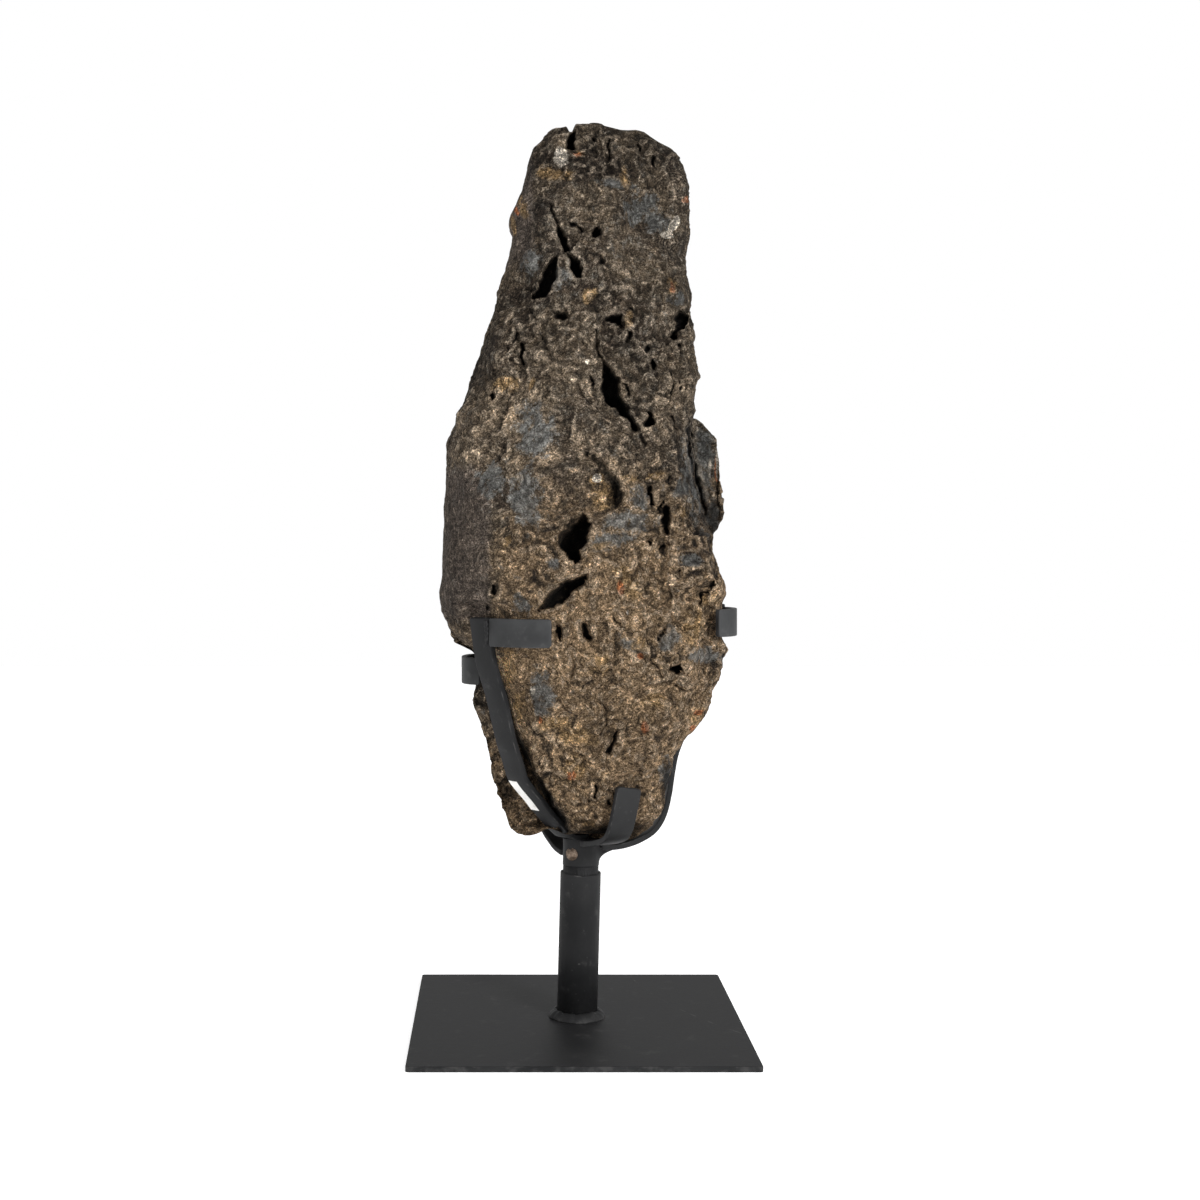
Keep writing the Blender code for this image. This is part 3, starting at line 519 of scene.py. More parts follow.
for bead_name, bead_points in BEADS.items():
    bead_path = smooth_path(bead_points, 14)
    bead_round = np.linspace(0, 2 * math.pi, 16, endpoint=False)[None, :]
    bead_share = np.linspace(0, 1, len(bead_path))[:, None]
    bead_size = BEAD_RADIUS * np.sqrt(np.clip(1 - (2 * bead_share - 1) ** 6, 0.01, 1))
    bead_size = bead_size * (1 + 0.13 * np.sin(bead_share * 34 + 0.8 * np.cos(bead_round)))
    bead_way = np.gradient(bead_path, axis=0)
    bead_side = np.cross(bead_way, (0.3, 1, 0.2))
    bead_side /= np.linalg.norm(bead_side, axis=1, keepdims=True)
    bead_other = np.cross(bead_way, bead_side)
    bead_other /= np.linalg.norm(bead_other, axis=1, keepdims=True)
    bead_rings = (bead_path[:, None, :] + (bead_size * np.cos(bead_round))[..., None] * bead_side[:, None, :]
                  + (bead_size * np.sin(bead_round))[..., None] * bead_other[:, None, :])
    fix(skin(bead_name, bead_rings, black_paint, worn=0.35 * np.ones((1, 16))), "black_paint")

# Label
# A narrow strip of white paper stuck along the outer face of the left arm. It is left blank here.
LABEL_LOW = 204 * MM
LABEL_HIGH = 235 * MM
LABEL_ACROSS = (-11.8 * MM, -6.3 * MM, -0.8 * MM)
LABEL_LIES = 2.55 * MM
LABEL_THICK = 0.25 * MM


def paper_looks(place):
    """White paper, faintly yellowed and scuffed grey in patches."""
    scuff = place.noise(7 * MM, 5, 0.6).rise(0.5, 0.8)
    return {"Base Color": scuff.mix((0.83, 0.82, 0.79), (0.6, 0.58, 0.54)),
            "Roughness": scuff * 0.2 + 0.6}


white_paper = new_finish("white paper", {}, paper_looks)
label_path, label_cross = routes["left_arm"]
label_middle = label_path[(label_path[:, 2] > LABEL_LOW) & (label_path[:, 2] < LABEL_HIGH)]
label_out = np.cross(np.gradient(label_middle, axis=0), label_cross)
label_out /= np.linalg.norm(label_out, axis=1, keepdims=True) * np.sign(label_out @ (*LEFT_OUT, 0))[:, None]
label_across = np.array(LABEL_ACROSS + LABEL_ACROSS[::-1])[None, :, None]
label_through = np.repeat((LABEL_LIES, LABEL_LIES + LABEL_THICK), 3)[None, :, None]
label_rings = (label_middle[:, None, :] + label_across * np.array(label_cross)
               + label_through * label_out[:, None, :])
label = skin("blank_label_finished", label_rings, white_paper)
label.data.set_sharp_from_angle(angle=SHARP_ANGLE)
fix(label, "white_paper", "blank_label")

# Stone
# One agate boulder, sawn and polished behind. Its front keeps the skin of the rock that it grew in: dark
# brown and grainy, with deep gas caves and slots, slate-blue chalcedony patches and ochre iron stains.
CUT_LOW_Z = 200 * MM
CUT_LOW_Y = 34 * MM
CUT_HIGH_Z = 838 * MM
CUT_HIGH_Y = 43 * MM
LEFT_EDGE = ((170, -47), (172, -56), (180, -62), (203, -71), (222, -76), (246, -82), (268, -87),
             (296, -94), (322, -98), (339, -102), (357, -111), (378, -120), (386, -125), (404, -127),
             (448, -125), (523, -124), (542, -122), (568, -113), (591, -104), (622, -95), (659, -81),
             (697, -71), (720, -65), (739, -62), (745, -65), (754, -64), (779, -53), (810, -45),
             (820, -42), (828, -34), (835, -30), (838, -27), (839.5, -12), (841, 3), (843, 7), (846, 14))
RIGHT_EDGE = ((170, -44), (172, -36), (176, -29), (181, -14), (183, 32), (186, 54), (192, 68),
              (202, 78), (211, 82), (237, 84), (254, 86), (262, 94), (280, 109), (303, 121), (314, 121),
              (328, 129), (352, 137), (379, 138), (398, 136), (425, 130), (456, 123), (480, 115),
              (508, 108), (546, 104), (569, 104), (594, 110), (604, 114), (615, 110), (691, 106),
              (715, 101), (731, 104), (784, 107), (806, 101), (821, 88), (827, 75), (838, 60),
              (840, 33), (843, 24), (846, 16))
LEFT_EDGE_Y = ((170, 5), (200, -6), (400, -12), (600, -5), (800, 0), (838, 6), (846, 12))
RIGHT_EDGE_Y = ((170, 5), (184, 4), (190, -12), (203, -28), (231, -35), (400, -35), (460, -30),
                (600, -15), (800, 0), (838, 6), (846, 12))
CREST_X = ((170, -46), (176, -42), (181, -36), (183, 6), (192, 24), (250, 10), (300, 0), (400, -10),
           (500, -4), (600, 4), (700, 18), (800, 20), (838, 16), (846, 15))
CREST_Y = ((170, 2), (176, -7), (181, -14), (183, -28), (186, -42), (192, -53), (202, -62),
           (215, -67), (231, -72), (250, -81), (275, -92), (300, -100), (330, -107), (370, -113), (400, -112),
           (500, -100), (600, -85), (700, -70), (780, -60), (812, -51), (828, -39), (836, -28), (842, -14),
           (845, 1), (846, 8))
BULGE_X = ((170, -50), (181, -44), (185, -26), (195, -26), (214, -31), (234, -37), (253, -43),
           (272, -53), (290, -61), (309, -65), (345, -75), (370, -80))
BULGE_Y = ((170, 3), (181, -5), (188, -14), (200, -28), (214, -38), (240, -45), (370, -45))
BULGE_LOW = 335 * MM
BULGE_HIGH = 370 * MM
RIM_Y_FOOT = ((170, 9), (178, 17), (188, 26), (200, 34))
RIM_Y_HEAD = ((838, 43), (843, 36), (846, 16))
LEFT_INSET = ((170, 1), (180, 4), (200, 8), (836, 10), (841, 4), (846, 1))
RIGHT_INSET = ((170, 1), (186, 5), (195, 20), (230, 30), (420, 34), (600, 26), (820, 22), (838, 12), (846, 1))
FIN_EDGE = ((456, 130), (472, 140), (480, 141), (496, 140), (529, 137), (547, 133), (562, 120), (568, 113))
LEFT_TRIM = ((170, 0), (270, 0), (294, 3), (304, 0), (316, -4), (330, 0), (354, -5), (366, -3), (398, -3),
             (420, 0), (484, -2), (500, 0), (545, 0), (559, 3), (570, 0), (600, 3), (630, 3), (645, 0),
             (700, -1), (712, 0), (735, 4.5), (795, 4.5), (825, 3.5), (838, 1), (846, 0))
RIGHT_TRIM = ((170, 0), (190, -2), (200, -4), (216, -5), (233, -4), (250, -3), (262, -5), (276, -5), (285, 0),
              (290, 3), (331, 3), (345, 0), (415, 0), (425, -4), (443, -7), (455, 0), (560, 0),
              (572, 3), (580, 0), (665, 0), (680, 3), (700, 0), (846, 0))
FOOT_RAISE = 4 * MM
FOOT_RAISE_END = 210 * MM
FOOT_RIGHT = -14 * MM
RESTS_AT = ((-20, 181), (8, 178), (22, 176.5), (28, 169), (45, 171), (57.5, 175), (70, 183), (77, 193))
RESTS_BEHIND = -12 * MM
CLIP_TOP = 179 * MM
REST_HEIGHT = 205 * MM
REST_FADE = 22 * MM
FIN_FRONT_Y = 16 * MM
FIN_CRACK_IN = 9 * MM
FIN_CRACK_Y = 12 * MM
FIN_STEP = 4 * MM
FIN_TAPER = 1.25 * MM
ROUNDNESS = 2.15
BEVEL_BEND = 0.7
SIDE_STEPS = 12
RECESS_STEPS = 16
FRONT_STEPS = 90
BEVEL_STEPS = 10
DEPTH_COUNTS = 0.7
FOOT_POLE = (-46, 7, 170)
HEAD_POLE = (15, 12, 846)
LUMPS = ((62 * MM, 12 * MM, 3), (31 * MM, 9 * MM, 5))
RIM_EASE = 0.06
END_EASE = 45 * MM
SIDE_LIFT = 0.15
BOWL_EDGE = 1.4

# Broad hollows of the front: middle x and z, half width and half height, depth, all in millimetres; tilt
BOWLS = ((-9, 503, 50, 40, 11, -20), (92, 395, 20, 26, 4, 0), (20, 655, 30, 26, 4, 15))
STONE_CLEAR = 1.6 * MM
STONE_PRESS = 14 * MM
PRESS_PAST_END = 1.3
SADDLE_TOP = 210 * MM

# The grid: rows from foot to head, columns round the rough side, columns across the polished cut
FOOT_ROWS = 26
BODY_ROWS = 392
HEAD_ROWS = 18
ROUGH_COLUMNS = 204
CUT_COLUMNS = 25
RIM_SPANS = 6


def along(table, z):
    """Read a (height, place) table in millimetres at heights z in metres."""
    heights, places = np.array(table, float).T * MM
    return np.interp(z, heights, places)[:, None]


def rim_y(z):
    """The rim follows the polished plane and rounds off at the foot and the head."""
    plane = (CUT_LOW_Y + (z - CUT_LOW_Z) * (CUT_HIGH_Y - CUT_LOW_Y) / (CUT_HIGH_Z - CUT_LOW_Z))[:, None]
    low = z[:, None] < CUT_LOW_Z
    high = z[:, None] > CUT_HIGH_Z
    return np.where(low, along(RIM_Y_FOOT, z), np.where(high, along(RIM_Y_HEAD, z), plane))


def front_outline(z):
    """Half outline at each height: left rim, left edge, recess, superellipse front, fin, right rim.

    The front is x = crest + reach·cos^(2/n) a and y = edge + depth·sin^(2/n) a, with n the roundness.
    """
    left = along(LEFT_EDGE, z) + along(LEFT_TRIM, z)
    right = along(RIGHT_EDGE, z) + along(RIGHT_TRIM, z)
    left_y, right_y, back = along(LEFT_EDGE_Y, z), along(RIGHT_EDGE_Y, z), rim_y(z)
    crest_x, crest_y = along(CREST_X, z), along(CREST_Y, z)
    stands_free = smooth((BULGE_HIGH - z) / (BULGE_HIGH - BULGE_LOW))[:, None]
    bulge_x = left + (along(BULGE_X, z) - left) * stands_free
    bulge_y = left_y + (along(BULGE_Y, z) - left_y) * stands_free

    t = np.arange(SIDE_STEPS)[None, :] / SIDE_STEPS
    side_x = left + along(LEFT_INSET, z) * (1 - t) ** 2
    side_y = back + (left_y - back) * t

    t = np.arange(RECESS_STEPS)[None, :] / RECESS_STEPS
    recess_x = left * (1 - t) ** 2 + bulge_x * (1 - (1 - t) ** 2)
    recess_y = left_y * (1 - t ** 2) + bulge_y * t ** 2

    angle = np.linspace(math.pi, 0, FRONT_STEPS + 1)[None, :]
    across = np.sign(np.cos(angle)) * np.abs(np.cos(angle)) ** (2 / ROUNDNESS)
    forward = np.abs(np.sin(angle)) ** (2 / ROUNDNESS)
    reach = np.where(across < 0, crest_x - bulge_x, right - crest_x)
    base_y = np.where(across < 0, bulge_y, right_y)
    front_x = crest_x + reach * across
    front_y = base_y + (crest_y - base_y) * forward

    fin_low, fin_high = FIN_EDGE[0][0] * MM, FIN_EDGE[-1][0] * MM
    fin = smooth((z - fin_low + FIN_STEP) / FIN_STEP) * smooth((fin_high + FIN_STEP - z) / FIN_STEP)
    fin = fin[:, None]
    rim_x = right - along(RIGHT_INSET, z)
    fin_x = along(FIN_EDGE, z)
    knots_x = (right, (right + rim_x) / 2, right + (rim_x - right) * BEVEL_BEND, rim_x)
    knots_y = (right_y, (right_y + back) / 2, right_y + (back - right_y) * BEVEL_BEND, back)
    fin_knots_x = (right, right - FIN_CRACK_IN, fin_x, fin_x - FIN_TAPER)
    fin_knots_y = (right_y, back * 0 + FIN_CRACK_Y, back * 0 + FIN_FRONT_Y, back)
    bevel_x, bevel_y = [], []
    for first in range(3):
        t = np.arange(1, BEVEL_STEPS + 1)[None, :] / BEVEL_STEPS
        for knots, fin_knots, out in ((knots_x, fin_knots_x, bevel_x), (knots_y, fin_knots_y, bevel_y)):
            here = knots[first] + (fin_knots[first] - knots[first]) * fin
            there = knots[first + 1] + (fin_knots[first + 1] - knots[first + 1]) * fin
            out.append(here + (there - here) * t)
    x = np.hstack([side_x, recess_x, front_x, *bevel_x])
    y = np.hstack([side_y, recess_y, front_y, *bevel_y])
    return x, y


def spread_evenly(x, y, count):
    """Resample each row of an outline at equal steps of its length, depth counting less than width."""
    step = np.hypot(np.diff(x, axis=1), DEPTH_COUNTS * np.diff(y, axis=1)) + 1e-9
    run = np.hstack([np.zeros((len(x), 1)), np.cumsum(step, axis=1)])
    run /= run[:, -1:]
    row = 2 * np.arange(len(x))[:, None]
    wanted = (row + np.linspace(0, 1, count)[None, :]).ravel()
    knots = (row + run).ravel()
    return (np.interp(wanted, knots, x.ravel()).reshape(-1, count),
            np.interp(wanted, knots, y.ravel()).reshape(-1, count))


def lattice_noise(points, pitch, seed):
    """Value noise from -1 to 1: random values on a cubic lattice, blended smoothly between its corners."""
    lattice = np.random.default_rng(seed).uniform(-1, 1, (16, 16, 16))
    cell = np.floor(points / pitch).astype(int)
    blend = smooth(points / pitch - cell)
    total = 0
    for corner in np.ndindex(2, 2, 2):
        weight = np.prod(np.where(np.array(corner) == 1, blend, 1 - blend), axis=-1)
        index = (cell + corner) % 16
        total = total + weight * lattice[index[..., 0], index[..., 1], index[..., 2]]
    return total


def clouds(points, pitch, seed):
    """Gradient noise from about -1 to 1: a random slope at each corner of a turned cubic lattice.

    Each corner's slope times the offset from it, weighted by the blend 6t⁵ - 15t⁴ + 10t³ along each axis.
    """
    chance = np.random.default_rng(seed)
    slopes = chance.normal(size=(16, 16, 16, 3))
    slopes /= np.linalg.norm(slopes, axis=-1, keepdims=True)
    place = points @ np.linalg.qr(chance.normal(size=(3, 3)))[0] / pitch
    cell = np.floor(place).astype(int)
    offset = place - cell
    blend = offset ** 3 * (offset * (offset * 6 - 15) + 10)
    total = 0
    for corner in np.ndindex(2, 2, 2):
        weight = np.prod(np.where(np.array(corner) == 1, blend, 1 - blend), axis=-1)
        index = (cell + corner) % 16
        slope = slopes[index[..., 0], index[..., 1], index[..., 2]]
        total = total + weight * np.sum(slope * (offset - corner), axis=-1)
    return total * 1.7


def chips(points, pitch, seed):
    """Broken faces, from -1 to 1: each point takes the height of its nearest seed's tilted plane.

    The planes don't meet where the nearest seed changes, so small ledges stand there.
    """
    chance = np.random.default_rng(seed)
    jitter = chance.random((16, 16, 16, 3))
    tilt = chance.normal(size=(16, 16, 16, 3))
    place = points @ np.linalg.qr(chance.normal(size=(3, 3)))[0] / pitch
    cell = np.floor(place).astype(int)
    nearest = np.full(place.shape[:-1], np.inf)
    height = np.zeros_like(nearest)
    for step in np.ndindex(3, 3, 3):
        index = cell + step - 1
        wrapped = index % 16
        key = (wrapped[..., 0], wrapped[..., 1], wrapped[..., 2])
        offset = place - index - jitter[key]
        distance = np.linalg.norm(offset, axis=-1)
        closer = distance < nearest
        height = np.where(closer, np.sum(offset * tilt[key], axis=-1), height)
        nearest = np.where(closer, distance, nearest)
    return np.clip(height, -1, 1)


def surface_normals(grid):
    """Outward directions of a grid of points whose rows rise and whose columns run to the right."""
    normal = np.cross(np.gradient(grid, axis=1), np.gradient(grid, axis=0))
    return normal / np.maximum(np.linalg.norm(normal, axis=2, keepdims=True), 1e-12)


def bowl_depth(points):
    """Depth of the broad hollows at each point of the front."""
    depth = 0
    for x, z, half_width, half_height, deep, tilt in BOWLS:
        turn = math.radians(tilt)
        side = points[..., 0] / MM - x
        rise = points[..., 2] / MM - z
        across = (side * math.cos(turn) + rise * math.sin(turn)) / half_width
        upward = (rise * math.cos(turn) - side * math.sin(turn)) / half_height
        depth = depth + deep * MM * smooth(BOWL_EDGE * (1 - across ** 2 - upward ** 2))
    return depth


def keep_inside(points):
    """Squeeze the last STONE_PRESS before each bar's inner face, so that STONE_CLEAR is left to the bar.

    With b how far a point lies beyond the face, it is moved to room·(1 - exp(-(b + press) / room)) - press,
    which never swaps two points along one line. The move fades out beside the bar and past its ends.
    """
    room = STONE_PRESS - STONE_CLEAR
    for path, cross in routes.values():
        path = path[::2]
        cross = np.broadcast_to(np.array(cross, float), (len(path), 3)) if len(cross) == 3 else cross[::2]
        out = np.cross(np.gradient(path, axis=0), cross)
        out /= np.linalg.norm(out, axis=1, keepdims=True)
        out *= np.sign(np.sum(out * (path - np.array(STONE_MIDDLE)), axis=1, keepdims=True))
        low, high = path.min(axis=0) - 3 * BAR_WIDTH, path.max(axis=0) + 3 * BAR_WIDTH
        close = np.all((points > low) & (points < high), axis=-1)
        some = points[close]
        nearest = np.argmin(np.linalg.norm(some[:, None, :] - path, axis=-1), axis=-1)
        away = some - path[nearest]
        beyond = np.sum(away * out[nearest], axis=-1) + BAR_THICK / 2
        sideways = np.abs(np.sum(away * cross[nearest], axis=-1))
        past_end = np.abs(np.sum(away * np.cross(out, cross)[nearest], axis=-1))
        squeezed = room * (1 - np.exp(-(beyond + STONE_PRESS) / room)) - STONE_PRESS
        share = smooth(1 - (sideways - BAR_WIDTH / 2) / STONE_PRESS)
        share = share * smooth(PRESS_PAST_END - past_end / STONE_PRESS)
        share = share * smooth((some[:, 2] - SADDLE_TOP) / STONE_PRESS)
        shift = np.where((beyond > -STONE_PRESS) & (beyond < 2 * BAR_WIDTH), beyond - squeezed, 0) * share
        points[close] = some - out[nearest] * shift[..., None]
    return points


stone_z = np.hstack([np.linspace(170.6, 200, FOOT_ROWS, endpoint=False), np.linspace(200, 838, BODY_ROWS),
                     np.linspace(838.5, 845.6, HEAD_ROWS)]) * MM
stone_x, stone_y = spread_evenly(*front_outline(stone_z), ROUGH_COLUMNS)
rough = np.dstack([stone_x, stone_y, np.broadcast_to(stone_z[:, None], stone_x.shape)])
stone_normal = surface_normals(rough)
along_row = np.linspace(0, 1, ROUGH_COLUMNS)[None, :]
from_end = np.minimum(stone_z - FOOT_POLE[2] * MM, HEAD_POLE[2] * MM - stone_z)[:, None]
rim_ease = smooth(np.minimum(along_row, 1 - along_row) / RIM_EASE)
lump_lift = sum(height * lattice_noise(rough, pitch, seed) for pitch, height, seed in LUMPS)
lump_lift = lump_lift * rim_ease * smooth(from_end / END_EASE)
lump_lift = lump_lift * (SIDE_LIFT + (1 - SIDE_LIFT) * np.abs(stone_normal[..., 1]))
lump_lift = lump_lift - bowl_depth(rough) * (stone_normal[..., 1] < 0)
rim_depth = rough[:, (0, -1), 1].copy()
rough = keep_inside(rough + stone_normal * lump_lift[..., None])
rough[:, (0, -1), 1] = rim_depth

# What the photograph shows on the front is placed by its pixels, seen from the photograph's camera
EYE = np.array((-69.2, -1573.8, 450)) * MM
FOCAL_PIXELS = 1673
EYE_PIXEL = (503, 543)


def seen(points):
    """The photograph's pixel of each point: its offset from the eye, over its distance, times the focus."""
    away = points[..., 1] - EYE[1]
    return (EYE_PIXEL[0] + (points[..., 0] - EYE[0]) * FOCAL_PIXELS / away,
            EYE_PIXEL[1] - (points[..., 2] - EYE[2]) * FOCAL_PIXELS / away)


def place_seen(points, u, v):
    """Move points sideways to the pixels (u, v) and leave their depth."""
    away = points[..., 1] - EYE[1]
    points[..., 0] = EYE[0] + (u - EYE_PIXEL[0]) * away / FOCAL_PIXELS
    points[..., 2] = EYE[2] - (v - EYE_PIXEL[1]) * away / FOCAL_PIXELS
    return points


# Caves: depth in millimetres, then the mouth in pixels; a third number is how many pixels wide the wall
# is that starts at that corner, where it is gentle
STEEP_WALL = 2.0
SNAP_PIXELS = 0.75
WANDER_PIXELS = 2.0
WANDER_PITCH = 6 * MM
CAVES = (
    (24, ((559, 252, 3), (558, 274, 4), (547, 296), (528, 301), (536, 284), (547, 263))),
    (22, ((555, 218), (560, 226), (567, 238), (571, 250), (565, 253), (559, 238))),
    (24, ((566, 250, 3), (576, 255), (583, 266), (583, 277), (575, 277), (570, 265, 3))),
    (7, ((566, 224), (575, 221), (584, 230), (586, 235), (577, 229), (570, 229))),
    (14, ((590, 230), (596, 226), (602, 226), (602, 232), (597, 238), (591, 237))),
    (7, ((597, 250, 8), (602, 252, 5), (607, 264), (598, 263))),
    (12, ((552, 317, 4), (558, 309, 7), (566, 308, 6), (571, 320), (560, 321))),
    (16, ((604, 318, 3), (612, 313, 4), (624, 313), (622, 320), (624, 328), (614, 325))),
    (6, ((612, 302), (616, 300), (617, 305), (612, 306))),
    (10, ((627, 332), (632, 333), (632, 339), (627, 343))),
    (20, ((675, 313, 3), (681, 311), (687, 318), (686, 325), (681, 329), (680, 337), (674, 342),
          (672, 337, 3),
          (676, 329, 3), (673, 319, 3))),
    (8, ((678, 342), (682, 342), (683, 353), (679, 353))),
    (5, ((663, 342), (667, 342), (667, 348), (664, 348))),
    (14, ((519, 340), (524, 340), (525, 363), (522, 368), (519, 362))),
    (7, ((516, 328), (520, 331), (514, 342), (511, 339))),
    (10, ((641, 350), (646, 345), (651, 347), (649, 352), (643, 354))),
    (14, ((651, 358), (656, 356), (658, 362), (657, 371), (650, 368), (650, 363))),
    (28, ((603, 359), (607, 362), (612, 369, 4), (621, 378, 5), (620, 387, 5), (623, 399, 5),
          (629, 411, 4), (637, 424),
          (642, 435), (635, 431), (627, 420), (614, 408), (603, 401), (600, 387), (602, 372))),
    (9, ((622, 380), (626, 383), (630, 392), (631, 399), (627, 397), (624, 389))),
    (20, ((647, 408), (653, 413), (655, 426), (643, 429), (644, 420), (647, 415))),
    (7, ((669, 410), (675, 416), (681, 429), (684, 436), (677, 428), (672, 419))),
    (6, ((664, 370), (668, 372), (671, 389), (670, 401), (666, 396), (667, 384))),
    (6, ((673, 374), (677, 376), (678, 395), (674, 392))),
    (7, ((681, 372), (684, 377), (684, 398), (681, 392))),
    (10, ((518, 462, 26), (585, 446, 6), (604, 460, 6), (620, 480, 5), (622, 498, 5), (613, 512, 6),
          (598, 516, 22),
          (540, 530, 30), (513, 500, 40))),
    (8, ((585, 447, 3), (590, 450), (590, 457), (584, 456, 3))),
    (9, ((612, 478, 3), (618, 480), (622, 492), (621, 505), (615, 512), (612, 500, 4))),
    (38, ((583, 510, 3), (592, 523, 3), (589, 541), (581, 551), (578, 566), (553, 543, 9), (556, 532, 11),
          (569, 519, 11))),
    (24, ((536, 613), (552, 609), (568, 599), (582, 587), (592, 575, 4), (580, 574, 7), (562, 581, 8),
          (547, 593, 8), (538, 605, 6))),
    (15, ((647, 484), (652, 484), (655, 507), (650, 507), (648, 496))),
    (11, ((661, 498), (664, 500), (663, 513), (659, 517), (657, 514))),
    (17, ((664, 504), (671, 505), (671, 516, 4), (669, 536), (663, 534), (659, 520))),
    (10, ((645, 545), (647, 540), (652, 540), (650, 546))),
    (10, ((668, 541), (666, 548), (659, 553), (657, 550), (663, 545))),
    (7, ((664, 474), (668, 476), (669, 486), (665, 484))),
    (6, ((675, 573), (677, 569), (681, 570), (678, 575))),
    (11, ((711, 577), (714, 580), (706, 598), (702, 607), (698, 604), (703, 592))),
    (7, ((663, 586, 4), (668, 584, 4), (672, 598, 4), (669, 611, 4), (663, 606, 4), (661, 594, 4))),
    (12, ((580, 620, 3), (587, 623), (594, 641), (586, 642), (582, 632, 3))),
    (14, ((555, 621), (560, 627), (564, 636), (562, 645), (557, 637), (556, 629))),
    (9, ((670, 622), (667, 632), (661, 643), (657, 641), (661, 631))),
    (14, ((667, 664), (674, 668), (680, 662), (685, 670), (677, 676), (668, 672))),
    (9, ((616, 729), (620, 733), (609, 756), (603, 752), (611, 741))),
    (9, ((687, 416), (692, 417), (692, 455), (701, 482), (708, 517), (704, 518), (695, 484), (687, 456))),
    (26, ((569, 132), (577, 131), (575, 149), (567, 150), (566, 144))),
    (5, ((587, 798, 3), (592, 798), (592, 803), (587, 804))),
    (8, ((607, 799, 3), (612, 798), (613, 807), (607, 807))),
    (9, ((594, 782, 2), (598, 784), (598, 799), (593, 798, 2))),
    (8, ((663, 790), (670, 789), (671, 795), (664, 796))),
    (7, ((607, 137), (611, 137), (611, 159), (607, 159))),
    (10, ((490, 394), (495, 390), (496, 398), (490, 401))),
    (8, ((493, 584), (499, 585, 4), (498, 592), (495, 599), (490, 592))),
    (7, ((483, 603), (488, 604), (488, 611), (484, 612))),
    (7, ((589, 376, 2), (595, 379), (596, 387), (591, 388, 2))),
    (9, ((590, 134), (595, 135), (594, 141), (590, 140))),
    (8, ((635, 146), (641, 148), (641, 153), (636, 152))),
    (8, ((649, 156), (655, 159), (656, 170), (651, 166))),
    (16, ((487, 651), (495, 652), (501, 668, 3), (509, 701, 3), (527, 756, 3), (548, 794, 3), (566, 818, 3),
          (574, 833), (564, 836), (546, 817), (530, 793), (513, 756), (496, 701), (489, 668))))

# Cracks: depth in millimetres, then the line in pixels; the grid is drawn onto the line
CRACK_PIXELS = 1.0
CRACKS = (
    (7, ((551, 205), (553, 213), (557, 222))),
    (4, ((511, 351), (509, 358))),
    (8, ((596, 331), (597, 346), (600, 355), (605, 361))),
    (9, ((636, 425), (642, 437), (648, 446))),
    (5, ((549, 391), (545, 397))),
    (4, ((668, 487), (673, 491))),
    (5, ((636, 570), (638, 564))),
    (5, ((641, 563), (644, 571))),
    (3, ((637, 572), (631, 577), (628, 585))),
    (3, ((493, 597), (496, 590), (498, 583))),
    (4, ((572, 655), (574, 665), (572, 676), (570, 685))),
    (3, ((613, 616), (618, 623), (624, 630))),
    (4, ((676, 685), (684, 690), (692, 688))),
    (4, ((597, 702), (606, 708), (609, 716), (605, 724), (598, 734), (592, 739))),
    (3, ((638, 650), (641, 657), (644, 662))),
    (4, ((651, 660), (657, 668), (662, 676))),
    (3, ((709, 645), (710, 656))),
    (3, ((640, 527), (648, 532), (652, 529))),
    (3, ((668, 466), (672, 474))),
    (4, ((578, 384), (582, 396), (590, 405))),
    (4, ((590, 376), (594, 383), (593, 390))),
    (4, ((531, 328), (533, 336))),
    (3, ((560, 700), (566, 708), (572, 714))),
    (3, ((565, 648), (570, 642), (577, 648))),
    (3, ((636, 765), (642, 774))),
    (3, ((545, 752), (551, 760), (553, 768))))


def window(u, v, outline, margin):
    """Which points lie within a margin round an outline's box."""
    low, high = np.min(outline, axis=0) - margin, np.max(outline, axis=0) + margin
    return (u > low[0]) & (u < high[0]) & (v > low[1]) & (v < high[1])


def to_edges(here, start, end):
    """Nearest point of each edge to each place, and its distance."""
    edge = end - start
    share = np.sum((here[:, None, :] - start) * edge, axis=-1) / np.sum(edge * edge, axis=-1)
    nearest = start + edge * np.clip(share, 0, 1)[..., None]
    return nearest, np.linalg.norm(here[:, None, :] - nearest, axis=-1)


def inside(here, start, end):
    """A place is inside an outline if a level line from it crosses the edges an odd number of times."""
    spans = (start[:, 1] > here[:, 1:]) != (end[:, 1] > here[:, 1:])
    slope = (end[:, 0] - start[:, 0]) / np.where(end[:, 1] == start[:, 1], 1e-9, end[:, 1] - start[:, 1])
    left_of = here[:, :1] < start[:, 0] + (here[:, 1:] - start[:, 1]) * slope
    return np.sum(spans & left_of, axis=1) % 2 == 1


def wander(points):
    """The pixels of each point, stirred a little so that no drawn edge runs straight."""
    u, v = seen(points)
    return (u + WANDER_PIXELS * clouds(points, WANDER_PITCH, 51),
            v + WANDER_PIXELS * clouds(points, WANDER_PITCH, 52))


